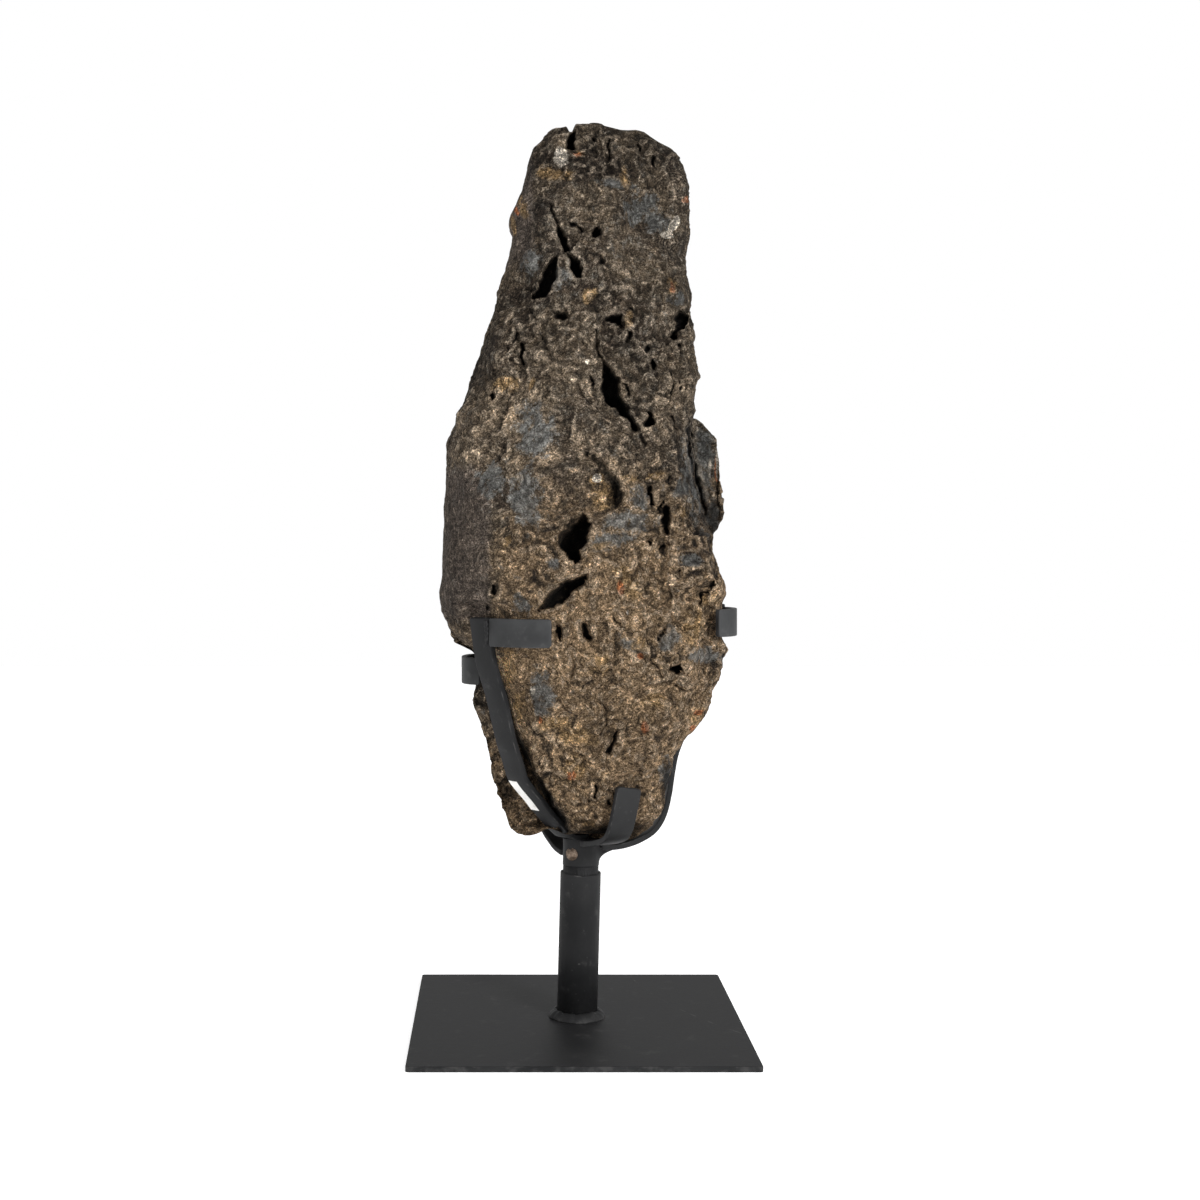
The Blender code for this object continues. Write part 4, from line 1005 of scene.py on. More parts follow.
def snap(points, faces_eye):
    """Draw the grid onto the mouths of caves and the lines of cracks, so that their edges are clean."""
    u, v = wander(points)
    seen_u, seen_v = seen(points)
    shift_u, shift_v = seen_u - u, seen_v - v
    for outline, reach, loop in ([(cave[1], SNAP_PIXELS, True) for cave in CAVES]
                                 + [(crack[1], CRACK_PIXELS, False) for crack in CRACKS]):
        corners = np.array([corner[:2] for corner in outline], float)
        start, end = (corners, np.roll(corners, -1, axis=0)) if loop else (corners[:-1], corners[1:])
        close = window(u, v, corners, 3) & faces_eye
        here = np.column_stack([u[close], v[close]])
        nearest, gap = to_edges(here, start, end)
        best = gap.argmin(axis=1)[:, None]
        target = np.take_along_axis(nearest, best[..., None], axis=1)[:, 0]
        near = np.take_along_axis(gap, best, axis=1) < reach
        moved = np.where(near, target, here)
        u[close], v[close] = moved.T
    return place_seen(points, u + shift_u, v + shift_v)


def cave_depth(points):
    """Depth in metres, and the share of each cave's depth that is reached at each point, which paints shade
    in deep, narrow caves and cracks.
    """
    u, v = wander(points)
    depth = np.zeros(u.shape)
    share = np.zeros(u.shape)
    for deep, mouth in CAVES:
        corners = np.array([corner[:2] for corner in mouth], float)
        walls = np.array([corner[2] if len(corner) == 3 else STEEP_WALL for corner in mouth])
        start, end = corners, np.roll(corners, -1, axis=0)
        close = window(u, v, corners, 1)
        here = np.column_stack([u[close], v[close]])
        gap = to_edges(here, start, end)[1]
        reached = smooth(np.min(gap / walls, axis=1)) * inside(here, start, end)
        depth[close] += deep * MM * reached
        area = abs(np.sum(start[:, 0] * end[:, 1] - end[:, 0] * start[:, 1])) / 2
        half_width = 2 * area / np.sum(np.linalg.norm(end - start, axis=1))
        share[close] = np.maximum(share[close], reached * smooth((deep / half_width - 0.5) / 1.5))
    for deep, line in CRACKS:
        corners = np.array(line, float)
        close = window(u, v, corners, 3)
        gap = to_edges(np.column_stack([u[close], v[close]]), corners[:-1], corners[1:])[1].min(axis=1)
        reached = smooth(1 - gap / (2 * CRACK_PIXELS))
        depth[close] = np.maximum(depth[close], deep * MM * reached)
        share[close] = np.maximum(share[close], reached * 0.45)
    return depth, share


# Patches of the front: middle and half size in pixels, then the tilt in degrees
PATCHES = {
    "slate": (
        (534, 432, 19, 27, 0), (527, 500, 14, 30, 0), (524, 503, 16, 26, -10), (627, 522, 31, 10, 0),
        (542, 693, 12, 24, -8), (522, 604, 9, 10, 0), (554, 564, 9, 6, 30), (667, 772, 8, 14, 10),
        (637, 208, 12, 18, 20), (650, 202, 14, 10, 20), (655, 222, 16, 10, 20), (492, 478, 15, 18, 0),
        (531, 262, 8, 14, 20), (563, 275, 8, 14, 20), (676, 300, 10, 7, -20), (640, 500, 10, 14, 0),
        (680, 488, 10, 10, 0), (700, 470, 16, 44, 0), (712, 518, 9, 18, 0), (632, 645, 16, 6, 30),
        (612, 540, 26, 8, -10), (618, 185, 16, 5, 10), (690, 560, 12, 7, 0), (670, 640, 10, 14, 20),
        (705, 655, 16, 8, 0)),
    "ochre": (
        (562, 174, 14, 6, 5), (579, 154, 6, 5, 0), (520, 200, 5, 26, -18), (513, 225, 4, 14, -10),
        (545, 172, 8, 8, 0), (506, 668, 10, 26, 6), (516, 712, 8, 22, 14), (553, 722, 18, 8, 0),
        (711, 600, 8, 8, 0), (602, 496, 12, 17, -25), (596, 479, 8, 7, -25), (632, 478, 12, 6, 0),
        (655, 476, 10, 6, 0), (602, 545, 14, 4, -12), (507, 540, 4, 8, 20), (574, 735, 24, 12, 10),
        (575, 770, 14, 16, 0), (683, 512, 7, 6, 0), (628, 320, 7, 9, 0), (600, 665, 10, 14, 0),
        (640, 645, 12, 8, 0), (625, 581, 9, 14, 0), (622, 572, 10, 6, 0), (636, 590, 10, 14, 0),
        (695, 625, 14, 20, 0), (655, 700, 14, 10, 0), (505, 385, 14, 8, 0), (531, 384, 3, 8, 25),
        (700, 715, 10, 10, 0), (590, 825, 8, 4, 10), (672, 285, 6, 10, 0), (590, 295, 8, 10, 0),
        (625, 180, 5, 14, -10)),
    "rust": (
        (620, 588, 3.5, 8, 0), (640, 656, 4, 3.5, 0), (645, 728, 4, 7, 0), (700, 711, 6, 3, 0),
        (692, 728, 3, 5, 0), (571, 775, 5, 5, 0), (541, 720, 2, 4, 0), (578, 155, 5, 3, 0),
        (684, 200, 5, 3.5, -25), (672, 287, 3, 6, 0), (515, 208, 3, 8, -20), (717, 470, 2.5, 16, 0)),
    "pale": (
        (561, 157, 8, 10, 0), (674, 224, 4, 9, 25), (667, 235, 7, 4, 10), (597, 478, 5, 5, 0),
        (718, 460, 2.2, 24, 0), (710, 468, 2, 10, 0), (689, 500, 3, 3, 0), (587, 362, 2, 3, 0),
        (533, 690, 3, 5, 0), (628, 612, 1.5, 4, 0))}
# Darker and lighter zones: the rock's tone by zone, with painted shadow under the stone's foot, beside the
# left arm and inside the right arm, and painted shade on the left flank; how much they scale the colour, then
# a patch in pixels
TONE_AND_SHADOW_ZONES = (
    (0.75, (650, 165, 55, 35, 0)), (1.15, (560, 245, 40, 45, 0)), (0.55, (694, 180, 10, 45, 0)),
    (0.65, (672, 290, 30, 30, 0)), (1.25, (590, 380, 110, 130, 0)), (0.80, (664, 460, 26, 60, 0)),
    (1.30, (500, 430, 55, 45, 0)), (1.40, (568, 465, 30, 14, 0)), (3.00, (502, 676, 9, 30, -10)),
    (2.20, (521, 735, 7, 28, -22)), (1.60, (540, 785, 6, 16, -28)), (1.50, (500, 505, 14, 22, 0)),
    (1.40, (545, 500, 20, 24, 0)), (1.35, (478, 465, 14, 14, 0)), (0.80, (660, 350, 35, 45, 0)),
    (0.70, (685, 495, 18, 30, 0)), (1.50, (548, 748, 30, 15, 0)), (0.65, (606, 725, 14, 30, 0)),
    (1.50, (703, 590, 14, 12, 0)), (0.60, (491, 385, 8, 14, 0)), (0.70, (530, 240, 8, 14, 0)),
    (0.20, (712, 518, 9, 18, 0)), (0.75, (706, 465, 14, 44, 0)), (0.04, (618, 837, 62, 13, 0)),
    (0.10, (668, 785, 5, 22, 0)), (0.82, (470, 550, 35, 110, 0)), (0.70, (615, 390, 16, 26, 0)),
    (0.04, (507, 702, 3, 30, -14)), (0.04, (523, 750, 4.5, 26, -24)), (0.04, (546, 792, 5, 26, -30)),
    (0.04, (560, 818, 6, 16, -32)), (1.80, (661, 322, 12, 10, 0)), (0.35, (630, 830, 22, 8, 0)),
    (1.60, (600, 823, 8, 5, 0)), (0.60, (590, 232, 22, 9, 0)), (0.60, (548, 332, 20, 14, 0)),
    (0.50, (600, 350, 9, 12, 0)), (1.60, (641, 329, 11, 9, 0)), (0.50, (617, 500, 7, 14, 0)),
    (0.50, (572, 522, 12, 10, 0)), (0.55, (660, 711, 11, 11, 0)), (0.65, (640, 730, 11, 11, 0)),
    (0.55, (632, 408, 22, 9, 0)), (0.60, (527, 462, 8, 8, 0)), (1.40, (460, 450, 20, 45, 0)),
    (1.60, (490, 605, 22, 12, 0)), (1.35, (640, 625, 18, 12, 0)), (1.30, (692, 650, 12, 18, 0)),
    (1.35, (505, 360, 16, 30, 0)))
WARM_TOP = 640 * MM
WARM_FADE = 260 * MM
WARM_LEFT = 470

# Small agate eyes in the skin: middle and radius in pixels
RINGS = ((673, 186, 17), (579, 472, 7), (551, 487, 5), (652, 612, 6), (668, 243, 12))


def patch_field(u, v, patches):
    """The strongest of a set of soft tilted ellipses at each pixel, from 0 to 1."""
    field = np.zeros(u.shape)
    for middle_u, middle_v, half_u, half_v, tilt in patches:
        turn = math.radians(tilt)
        across = ((u - middle_u) * math.cos(turn) + (v - middle_v) * math.sin(turn)) / half_u
        upward = ((v - middle_v) * math.cos(turn) - (u - middle_u) * math.sin(turn)) / half_v
        field = np.maximum(field, np.clip(1.5 - np.hypot(across, upward), 0, 1))
    return field


# Grain of the rock: pitch, height and seed of its swells, its broken faces and its creases
SWELLS = ((34 * MM, 3.2 * MM, 21), (17 * MM, 2.2 * MM, 22), (9 * MM, 1.4 * MM, 23), (5.2 * MM, 1.1 * MM, 24),
          (3.2 * MM, 0.8 * MM, 25))
BROKEN = ((30 * MM, 2.4 * MM, 26), (13 * MM, 1.1 * MM, 27))
CREASES = ((24 * MM, 1.6 * MM, 28, 0.07),)
SIDE_GRAIN = 0.4
RUGGED = ((645, 350, 50, 75, 0), (670, 520, 40, 70, 0), (600, 145, 80, 25, 0), (680, 610, 45, 60, 0),
          (530, 345, 35, 30, 0), (570, 340, 40, 25, 0))
CALM = ((560, 485, 50, 38, 0), (650, 240, 30, 25, 0), (512, 690, 14, 60, -10), (515, 590, 40, 30, 0))
SPONGY = ((645, 350, 45, 60, 0), (525, 350, 30, 30, 0), (665, 520, 35, 50, 0), (630, 430, 40, 30, 0),
          (600, 780, 60, 50, 0))
WARP = 5 * MM
WARP_PITCH = 26 * MM
EDGE_SINK = 0.3 * MM
PIT_COUNT = 420
PIT_RADII = (1.3 * MM, 4.6 * MM)
PIT_SEED = 31
TOP_LINE = ((598, 120), (604, 126), (612, 128.5), (620, 131), (628, 131.5), (636, 130.5), (644, 132),
            (652, 138), (660, 143.5), (668, 147), (676, 151), (684, 160))
TOP_KEPT = 0.2
NICK_X = -6 * MM
NICK_HALF = 4.5 * MM
NICK_DEPTH = 8 * MM
NICK_FOOT = 828 * MM


def softened(field, reach):
    """The mean of a field over a square of the grid, by running sums along each axis."""
    for axis in (0, 1):
        pad = [(reach + 1, reach) if other == axis else (0, 0) for other in (0, 1)]
        run = np.cumsum(np.pad(field, pad, mode="edge"), axis=axis)
        width = 2 * reach + 1
        later, earlier = (run[width:], run[:-width]) if axis == 0 else (run[:, width:], run[:, :-width])
        field = (later - earlier) / width
    return field


def pit_depth(points, u, v):
    """Seeded small pits, each a rounded hollow in a window of the grid, denser in the spongy zones."""
    chance = np.random.default_rng(PIT_SEED)
    depth = np.zeros(points.shape[:2])
    rows, columns = depth.shape
    spongy = patch_field(u, v, SPONGY)
    for _ in range(PIT_COUNT):
        row, column = chance.integers(8, rows - 8), chance.integers(6, columns - 6)
        radius = PIT_RADII[0] * (PIT_RADII[1] / PIT_RADII[0]) ** (chance.random() ** 2.2)
        tall = chance.uniform(0.6, 2.2)
        lean = chance.uniform(-0.8, 0.8)
        if chance.random() >= 0.15 + 0.75 * spongy[row, column]:
            continue
        near = (slice(max(row - 7, 0), row + 8), slice(max(column - 6, 0), column + 7))
        offset = (points[near] - points[row, column]) / radius
        rise = offset[..., 2] / tall
        across = np.hypot(offset[..., 0] + lean * rise, offset[..., 1])
        depth[near] = np.maximum(depth[near], radius * 0.9 * smooth(1.5 * (1 - np.hypot(rise, across))))
    return depth


eye_ray = rough - EYE
eye_ray /= np.linalg.norm(eye_ray, axis=-1, keepdims=True)
stone_normal = surface_normals(rough)
faces_eye = -np.sum(stone_normal * eye_ray, axis=-1)
front_share = smooth(faces_eye / 0.3)
rough = snap(rough, faces_eye > 0.1)
rough[:, (0, -1), 1] = rim_depth
pixel_u, pixel_v = seen(rough)
marks = {name: patch_field(pixel_u, pixel_v, patches) * front_share for name, patches in PATCHES.items()}
flank = smooth((505 - pixel_u) / 30) * smooth((pixel_v - 440) / 60) * smooth((640 - pixel_v) / 40)
flank = np.maximum(flank, smooth((545 - pixel_u) / 20) * smooth((300 - pixel_v) / 60) * 0.8)
calm = 1 - 0.75 * np.clip(np.maximum(marks["slate"], np.maximum(flank, marks["pale"])), 0, 1)
calm = calm * (1 - 0.6 * patch_field(pixel_u, pixel_v, CALM) * front_share)
rugged = 1 + 0.8 * patch_field(pixel_u, pixel_v, RUGGED) * front_share
warped = rough + WARP * np.stack([clouds(rough, WARP_PITCH, seed) for seed in (41, 42, 43)], axis=-1)
grain_lift = 0
for pitch, height, seed in SWELLS:
    grain_lift = grain_lift + height * clouds(warped, pitch, seed)
for pitch, height, seed in BROKEN:
    grain_lift = grain_lift + height * chips(warped, pitch, seed)
for pitch, height, seed, width in CREASES:
    grain_lift = grain_lift - height * smooth(1 - np.abs(clouds(warped, pitch, seed)) / width)
grain_lift = grain_lift * (SIDE_GRAIN + (1 - SIDE_GRAIN) * np.abs(stone_normal[..., 1]))
grain_lift = grain_lift - EDGE_SINK * (1 - np.abs(stone_normal[..., 1]))
pits = pit_depth(rough, pixel_u, pixel_v)
fine_ease = smooth(np.minimum(along_row, 1 - along_row) / 0.015) * smooth(from_end / (14 * MM))
fine_lift = (grain_lift * calm * rugged - pits * (0.4 + 0.6 * calm)) * fine_ease
# hollow: how far into a deep, narrow cave or crack a point lies; it paints their shade nearly black.
deep, hollow = cave_depth(rough)
deep = deep * front_share * fine_ease
hollow = hollow * front_share
rough = rough + stone_normal * fine_lift[..., None] + eye_ray * deep[..., None]
rough[..., 2] = np.minimum(rough[..., 2], stone_z[:, None] + 0.8 * MM)
rough = keep_inside(rough)
rough[:, (0, -1), 1] = rim_depth
relief = fine_lift - np.minimum(deep, 6 * MM)
# crest: relief above or below its surroundings; it paints highlights on ridges and shade in dips.
crest = np.clip((relief - softened(relief, 3)) / (1.3 * MM), -1, 1)

share = np.linspace(0, 1, CUT_COLUMNS + 2)[None, 1:-1, None]
cut = rough[:, -1:, :] + (rough[:, :1, :] - rough[:, -1:, :]) * share
stone_rings = np.concatenate([rough, cut], axis=1)
foot_share = smooth((FOOT_RAISE_END - stone_rings[..., 2]) / (FOOT_RAISE_END - FOOT_POLE[2] * MM))
foot_share = foot_share * smooth((FOOT_RIGHT - stone_rings[..., 0]) / (14 * MM))
stone_rings[..., 2] += FOOT_RAISE * foot_share
rest_x, rest_z = np.array(RESTS_AT).T * MM
rests_at = np.interp(stone_rings[..., 0], rest_x, rest_z)
rests_at = np.where(stone_rings[..., 1] < RESTS_BEHIND, np.maximum(rests_at, CLIP_TOP), rests_at)
rest_share = smooth((stone_rings[..., 0] - rest_x[0]) / (14 * MM))
rest_share = rest_share * smooth((rest_x[-1] - stone_rings[..., 0]) / (6 * MM))
rest_share = rest_share * smooth((stone_rings[..., 1] + 32 * MM) / (18 * MM))
rest_share = rest_share * smooth((REST_HEIGHT - stone_rings[..., 2]) / REST_FADE)
stone_rings[..., 2] -= rest_share * np.maximum(stone_rings[..., 2] - rests_at, 0)
nick = smooth(1 - np.abs(stone_rings[..., 0] - NICK_X) / NICK_HALF)
nick = nick * smooth((stone_rings[..., 2] - NICK_FOOT) / (9 * MM))
stone_u, stone_v = seen(stone_rings)
above = np.maximum(np.interp(stone_u, *np.array(TOP_LINE).T, left=0, right=0) - stone_v, 0)
stone_rings[..., 2] -= (1 - TOP_KEPT) * above * (stone_rings[..., 1] - EYE[1]) / FOCAL_PIXELS
stone_rings[..., 2] = np.minimum(stone_rings[..., 2], HEAD_POLE[2] * MM - 0.2 * MM) - NICK_DEPTH * nick

MID_BROWN = (0.070, 0.053, 0.036)
DARK_BROWN = (0.020, 0.015, 0.011)
WARM_TAN = (0.152, 0.102, 0.058)
STONE_GREY = (0.072, 0.061, 0.047)
SLATE_BLUE = (0.100, 0.100, 0.094)
SLATE_DARK = (0.048, 0.048, 0.046)
OCHRE = (0.175, 0.112, 0.052)
RUST = (0.240, 0.080, 0.030)
PALE = (0.330, 0.290, 0.235)
PORE_AND_DIP_SHADE = (0.010, 0.008, 0.006)
FLANK_DARK = (0.045, 0.036, 0.030)
FLANK_LIGHT = (0.125, 0.100, 0.082)
PAINTED_SLATE_SHEEN = (0.240, 0.240, 0.230)
PALE_SHADE = (0.160, 0.145, 0.125)
RING_TAN = (0.240, 0.190, 0.140)
PAINTED_RIDGE_HIGHLIGHT = (0.300, 0.245, 0.185)
PAINTED_GLINT_WHITE = (0.500, 0.470, 0.420)
PAINTED_CAVE_SHADE = (0.0015, 0.0012, 0.0010)

# The polished cut: its bands from dark to white to rusty, its quartz heart, its rim, veins and pits
BANDS = ((0.30, (0.016, 0.017, 0.020)), (0.42, (0.060, 0.064, 0.072)), (0.49, (0.120, 0.112, 0.104)),
         (0.55, (0.400, 0.385, 0.360)), (0.61, (0.130, 0.100, 0.078)), (0.70, (0.200, 0.085, 0.035)))
QUARTZ_DARK = (0.055, 0.056, 0.060)
QUARTZ_LIGHT = (0.210, 0.205, 0.200)
QUARTZ_FROM_RIM = (66 * MM, 70 * MM)
RIM_RUST = (0.200, 0.075, 0.026)
VEIN = (0.260, 0.130, 0.060)
PIT_DARK = (0.015, 0.012, 0.010)


def rough_looks(place):
    """Layers of rock: brown mottling, tan towards the bottom, grey mineral, pores, then the patches on the
    mesh, with painted light and shade.
    """
    broad = place.noise(60 * MM, 7, 0.65)
    middle = place.noise(9 * MM, 6, 0.65)
    wrinkle = place.noise(12 * MM, 8, 0.78, 1.8)
    fold = 1 - (place.noise(9 * MM, 5, 0.62, 3.0) - 0.5).maths("ABSOLUTE", 0).rise(0.0, 0.035)
    grit = place.noise(3.6 * MM, 6, 0.8, 1.2)
    sand = place.noise(1.5 * MM, 3, 0.7)
    pore = place.noise(3.4 * MM, 3, 0.6)
    edge = (middle - 0.5) * 1.3 + (grit - 0.5) * 0.7
    ragged = (middle - 0.5) * 3.6 + (grit - 0.5) * 1.4
    relief_light_and_shade = place.field("crest")
    colour = broad.rise(0.40, 0.60).mix(DARK_BROWN, MID_BROWN)
    colour = (middle.rise(0.44, 0.66) * 0.6).mix(colour, STONE_GREY)
    # Tan, more towards the bottom and right, and lighter on raised relief as painted highlight.
    paler_amount = place.field("warm") + (middle - 0.5) * 1.6 + (broad - 0.5) * 2.2 + relief_light_and_shade * 0.3
    colour = (paler_amount.rise(0.35, 1.1) * 0.8).mix(colour, WARM_TAN)
    flank_mask = (place.field("flank") + edge * 0.5).rise(0.3, 0.8)
    colour = (flank_mask * 0.75).mix(colour, grit.mix(FLANK_DARK, FLANK_LIGHT))
    slate = (place.field("slate") + ragged).rise(0.35, 0.95)
    colour = (slate * 0.85).mix(colour, wrinkle.rise(0.38, 0.62).mix(SLATE_DARK, SLATE_BLUE))
    # Painted sheen: thin pale lines along the folds of the slate patches.
    colour = (fold * slate * 0.35).mix(colour, PAINTED_SLATE_SHEEN)
    ochre = (place.field("ochre") + ragged * 0.8).rise(0.45, 1.1)
    colour = (ochre * 0.75).mix(colour, OCHRE)
    rust = (place.field("rust") + edge * 0.9).rise(0.4, 0.8)
    colour = (rust * 0.8).mix(colour, RUST)
    pale = (place.field("pale") + edge * 0.7).rise(0.42, 0.7)
    colour = pale.mix(colour, middle.rise(0.3, 0.7).mix(PALE_SHADE, PALE))
    ring = place.field("ring")
    wave = (ring * 2300 + middle * 3).maths("SINE", 0)
    ringed = ring.rise(0.2 * MM, 0.8 * MM) * 0.25
    colour = (ringed * wave.rise(-0.2, 0.9)).mix(colour, RING_TAN)
    # Dark pores of the grain, and painted shade in the dips of the relief.
    spots = pore.rise(0.35, 0.29) * (1 - slate * 0.7) * 0.6 + relief_light_and_shade.rise(-0.3, -1.0) * 0.45
    colour = (spots.maths("MINIMUM", 1) * 0.85).mix(colour, PORE_AND_DIP_SHADE)
    # Painted highlight on raised relief.
    colour = (relief_light_and_shade.rise(0.15, 0.9) * 0.25).mix(colour, PAINTED_RIDGE_HIGHLIGHT)
    # Speckle of the grain, partly the rock's own tone and partly painted light: the noises that raise the
    # bump also lighten the colour, and the folds darken it.
    speckle_and_painted_grain_light = (wrinkle - 0.5) * 11 + (grit - 0.5) * 8 + (sand - 0.5) * 7.5 - fold * 1.5 + 0.68
    speckle_and_painted_grain_light = speckle_and_painted_grain_light * (1 - slate * 0.35 - flank_mask * 0.15)
    # The zones' field scales the colour here, with its painted shadow and shade.
    speckle_and_painted_grain_light = speckle_and_painted_grain_light.maths("POWER", 2, swapped=True) * place.field("shade")
    colour = colour.node("VectorMath", {"operation": "SCALE"}, {"Vector": colour, "Scale": speckle_and_painted_grain_light})
    # Painted glints: pale specks on the left flank, which are also made shinier.
    painted_glint = place.noise(1.1 * MM, 1).rise(0.74, 0.78) * flank_mask
    colour = (painted_glint * 0.7).mix(colour, PAINTED_GLINT_WHITE)
    # Painted shade: deep, narrow caves and cracks go nearly black.
    colour = (place.field("hollow").rise(0.2, 0.95) * 0.96).mix(colour, PAINTED_CAVE_SHADE)
    height = wrinkle * 2.2 + grit * 0.8 + sand * 0.25 - fold * 0.25 - pore.rise(0.36, 0.26) * 0.3
    return {"Base Color": colour,
            "Roughness": 0.88 - slate * 0.25 - pale * 0.3 - painted_glint * 0.4,
            "Normal": height.bump(1.0, 3.5 * MM)}


def polished_looks(place):
    """Agate bands of uneven width from the rusty rim inwards, bent by noise, round a heart of grey quartz."""
    bend = place.noise(75 * MM, 3, 0.5)
    wander_in = place.noise(17 * MM, 3, 0.5)
    travel = place.field("inward") + (bend - 0.5) * 38 * MM + (wander_in - 0.5) * 7 * MM
    across = travel.node("CombineXYZ", None, {0: travel, 2: bend * 0.05})
    wide = across.noise(16 * MM, 2, 0.6)
    thin = across.noise(3.6 * MM, 4, 0.8)
    band = wide + (thin - 0.5) * 0.9
    colour = band.node("ValToRGB", {"stops": BANDS}, {"Fac": band})
    crystals = place.noise(6 * MM, 5, 0.7)
    heart = (travel + (crystals - 0.5) * 14 * MM).rise(*QUARTZ_FROM_RIM)
    colour = (heart * 0.85).mix(colour, crystals.rise(0.35, 0.65).mix(QUARTZ_DARK, QUARTZ_LIGHT))
    rusty = (travel + (thin - 0.5) * 4 * MM).rise(9 * MM, 2 * MM)
    colour = (rusty * 0.8).mix(colour, RIM_RUST)
    vein = 1 - (place.noise(38 * MM, 6, 0.6) - 0.5).maths("ABSOLUTE", 0).rise(0.0, 0.010)
    colour = (vein * 0.4).mix(colour, VEIN)
    pits = place.noise(2.4 * MM, 2).rise(0.28, 0.22)
    return {"Base Color": (pits * 0.8).mix(colour, PIT_DARK),
            "Roughness": pits * 0.5 + crystals * 0.06 + 0.06,
            "Normal": (1 - pits).bump(0.25, 0.2 * MM)}


rough_stone = new_finish("rough agate skin", {"Specular IOR Level": 0.1}, rough_looks)
polished_stone = new_finish("polished agate", {"Specular IOR Level": 0.6}, polished_looks)
stone_poles = (np.array(FOOT_POLE) * MM + (0, 0, FOOT_RAISE), np.array(HEAD_POLE) * MM)
stone = skin("agate_stone_finished", stone_rings, rough_stone, poles=stone_poles)
stone_mesh = stone.data
stone_mesh.materials.append(polished_stone)
rows, columns = stone_rings.shape[:2]
slots = np.zeros(len(stone_mesh.polygons), np.int32)
slots[:(rows - 1) * columns] = np.tile(np.arange(columns) >= ROUGH_COLUMNS - 1, rows - 1)
stone_mesh.polygons.foreach_set("material_index", slots)
edge_ends = np.zeros(len(stone_mesh.edges) * 2, int)
stone_mesh.edges.foreach_get("vertices", edge_ends)
edge_ends = edge_ends.reshape(-1, 2)
on_left = (edge_ends % columns == 0).all(axis=1)
on_right = (edge_ends % columns == ROUGH_COLUMNS - 1).all(axis=1)
sharp = stone_mesh.attributes.new("sharp_edge", "BOOLEAN", "EDGE")
sharp.data.foreach_set("value", (on_left | on_right) & (edge_ends.max(axis=1) < rows * columns))

# Painted shadow and shade: these zones scale the colour, nearly black under the stone's foot, beside the left
# arm and inside the right arm.
side_share = smooth(1 + faces_eye / 0.4)
shade = np.ones(pixel_u.shape)
for strength, zone in TONE_AND_SHADOW_ZONES:
    shade = shade * (1 + (strength - 1) * patch_field(pixel_u, pixel_v, (zone,)) * side_share)
pad = np.zeros((rows, CUT_COLUMNS))
warm = smooth((WARM_TOP - rough[..., 2]) / WARM_FADE) * (0.35 + 0.65 * smooth((pixel_u - WARM_LEFT) / 60))
ring_field = np.zeros(pixel_u.shape)
for middle_u, middle_v, radius in RINGS:
    distance = np.hypot(pixel_u - middle_u, pixel_v - middle_v)
    ring_field = np.where(distance < radius, np.maximum(radius - distance, 0) * 0.93 * MM, ring_field)
marks.update(flank=flank, crest=crest, hollow=hollow, warm=warm, shade=shade,
             ring=ring_field * (front_share > 0.5))
for name, field in marks.items():
    add_field(stone_mesh, name, np.hstack([field, pad]))
rim_ends = stone_rings[:, (ROUGH_COLUMNS - 1, 0)][..., (0, 2)]
rim_steps = np.arange(RIM_SPANS)[:, None, None, None] / RIM_SPANS
rim_points = (rim_ends[:-1] + rim_steps * (rim_ends[1:] - rim_ends[:-1])).reshape(-1, 2)
inward = np.zeros(stone_rings.shape[:2])
inward[:, ROUGH_COLUMNS:] = [np.linalg.norm(row[:, None, (0, 2)] - rim_points, axis=2).min(axis=1)
                             for row in stone_rings[:, ROUGH_COLUMNS:]]
from_ends = np.minimum(stone_rings[..., 2] - FOOT_POLE[2] * MM, HEAD_POLE[2] * MM - stone_rings[..., 2])
inward = np.minimum(inward, np.maximum(from_ends, 0))
add_field(stone_mesh, "inward", inward)
fix(stone, "rough_agate", "agate_stone")

# Studio
# A plain white floor under a white sky, a large soft light at the upper right and a weaker one at the left.
FLOOR_SIZE = 9.0
SKY_TOP = 0.15
FLOOR_GLOW = (0.68, 0.78)
PHOTO_SIZE = 1200
SENSOR = 36
CAMERA_LENS = SENSOR * FOCAL_PIXELS / PHOTO_SIZE
CAMERA_SHIFT = ((PHOTO_SIZE / 2 - EYE_PIXEL[0]) / PHOTO_SIZE, (EYE_PIXEL[1] - PHOTO_SIZE / 2) / PHOTO_SIZE)


def floor_looks(place):
    """White seamless paper, lit from below far from the object so that it meets the white sky."""
    radius = place.node("VectorMath", {"operation": "LENGTH"}, {0: place}, 1)
    return {"Base Color": place.noise(0.4, 2).mix((0.93, 0.93, 0.93), (0.95, 0.95, 0.95)),
            "Emission Strength": radius.rise(0.6, 2.0) * (FLOOR_GLOW[1] - FLOOR_GLOW[0]) + FLOOR_GLOW[0]}


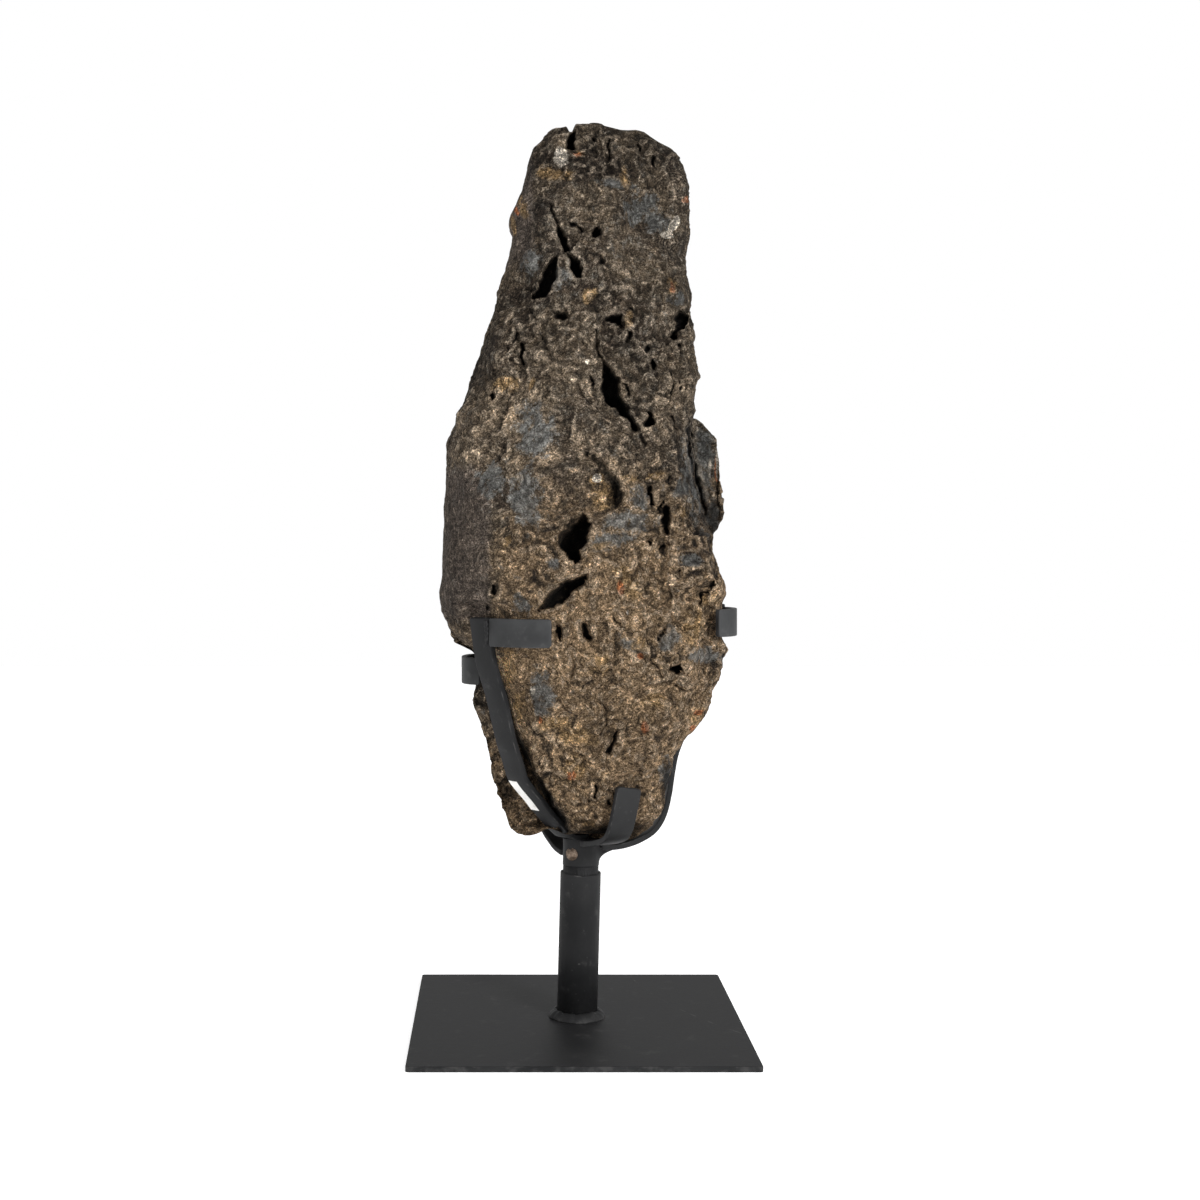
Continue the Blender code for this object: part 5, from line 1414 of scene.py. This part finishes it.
def area_light(name, place, target, size, power):
    """A square soft light at a place, turned towards a target."""
    lamp = bpy.data.lights.new(name, "AREA")
    lamp.size = size
    lamp.energy = power
    thing = bpy.data.objects.new(name, lamp)
    thing.location = place
    away = np.array(place) - np.array(target)
    flat = math.hypot(away[0], away[1])
    thing.rotation_euler = (math.atan2(flat, away[2]), 0, math.atan2(away[0], -away[1]))
    bpy.context.scene.collection.objects.link(thing)


paper = new_finish("white floor", {"Roughness": 0.9, "Specular IOR Level": 0.1}, floor_looks)
paper.node_tree.nodes["Principled BSDF"].inputs["Emission Color"].default_value = (1, 1, 1, 1)
floor_mesh = bpy.data.meshes.new("floor")
floor_corners = [(FLOOR_SIZE / 2 * x, FLOOR_SIZE / 2 * y, 0) for x, y in ((-1, -1), (1, -1), (1, 1), (-1, 1))]
floor_mesh.from_pydata(floor_corners, [], [(0, 1, 2, 3)])
floor_mesh.materials.append(paper)
floor = bpy.data.objects.new("floor", floor_mesh)
bpy.context.scene.collection.objects.link(floor)

world = bpy.data.worlds.new("white sky")
bpy.context.scene.world = world
world.use_nodes = True
sky = world.node_tree.nodes["Background"]
sky.inputs["Color"].default_value = (1, 1, 1, 1)
direction = Wire(world.node_tree.nodes.new("ShaderNodeTexCoord").outputs["Generated"])
height = direction.node("SeparateXYZ", None, {"Vector": direction}, 2)
world.node_tree.links.new((1 - height.rise(0.36, 0.75) * (1 - SKY_TOP)).socket, sky.inputs["Strength"])
area_light("key light", (1.1, -1.7, 1.2), (0, 0, 0.45), 0.45, 46)
area_light("fill light", (-1.5, -1.5, 1.0), (0, 0, 0.5), 1.0, 5)

camera_data = bpy.data.cameras.new("camera")
camera_data.sensor_width = SENSOR
camera_data.lens = CAMERA_LENS
camera_data.shift_x, camera_data.shift_y = CAMERA_SHIFT
camera = bpy.data.objects.new("camera", camera_data)
camera.location = EYE
camera.rotation_euler = (math.pi / 2, 0, 0)
bpy.context.scene.collection.objects.link(camera)
bpy.context.scene.camera = camera
bpy.context.scene.view_settings.view_transform = "Standard"
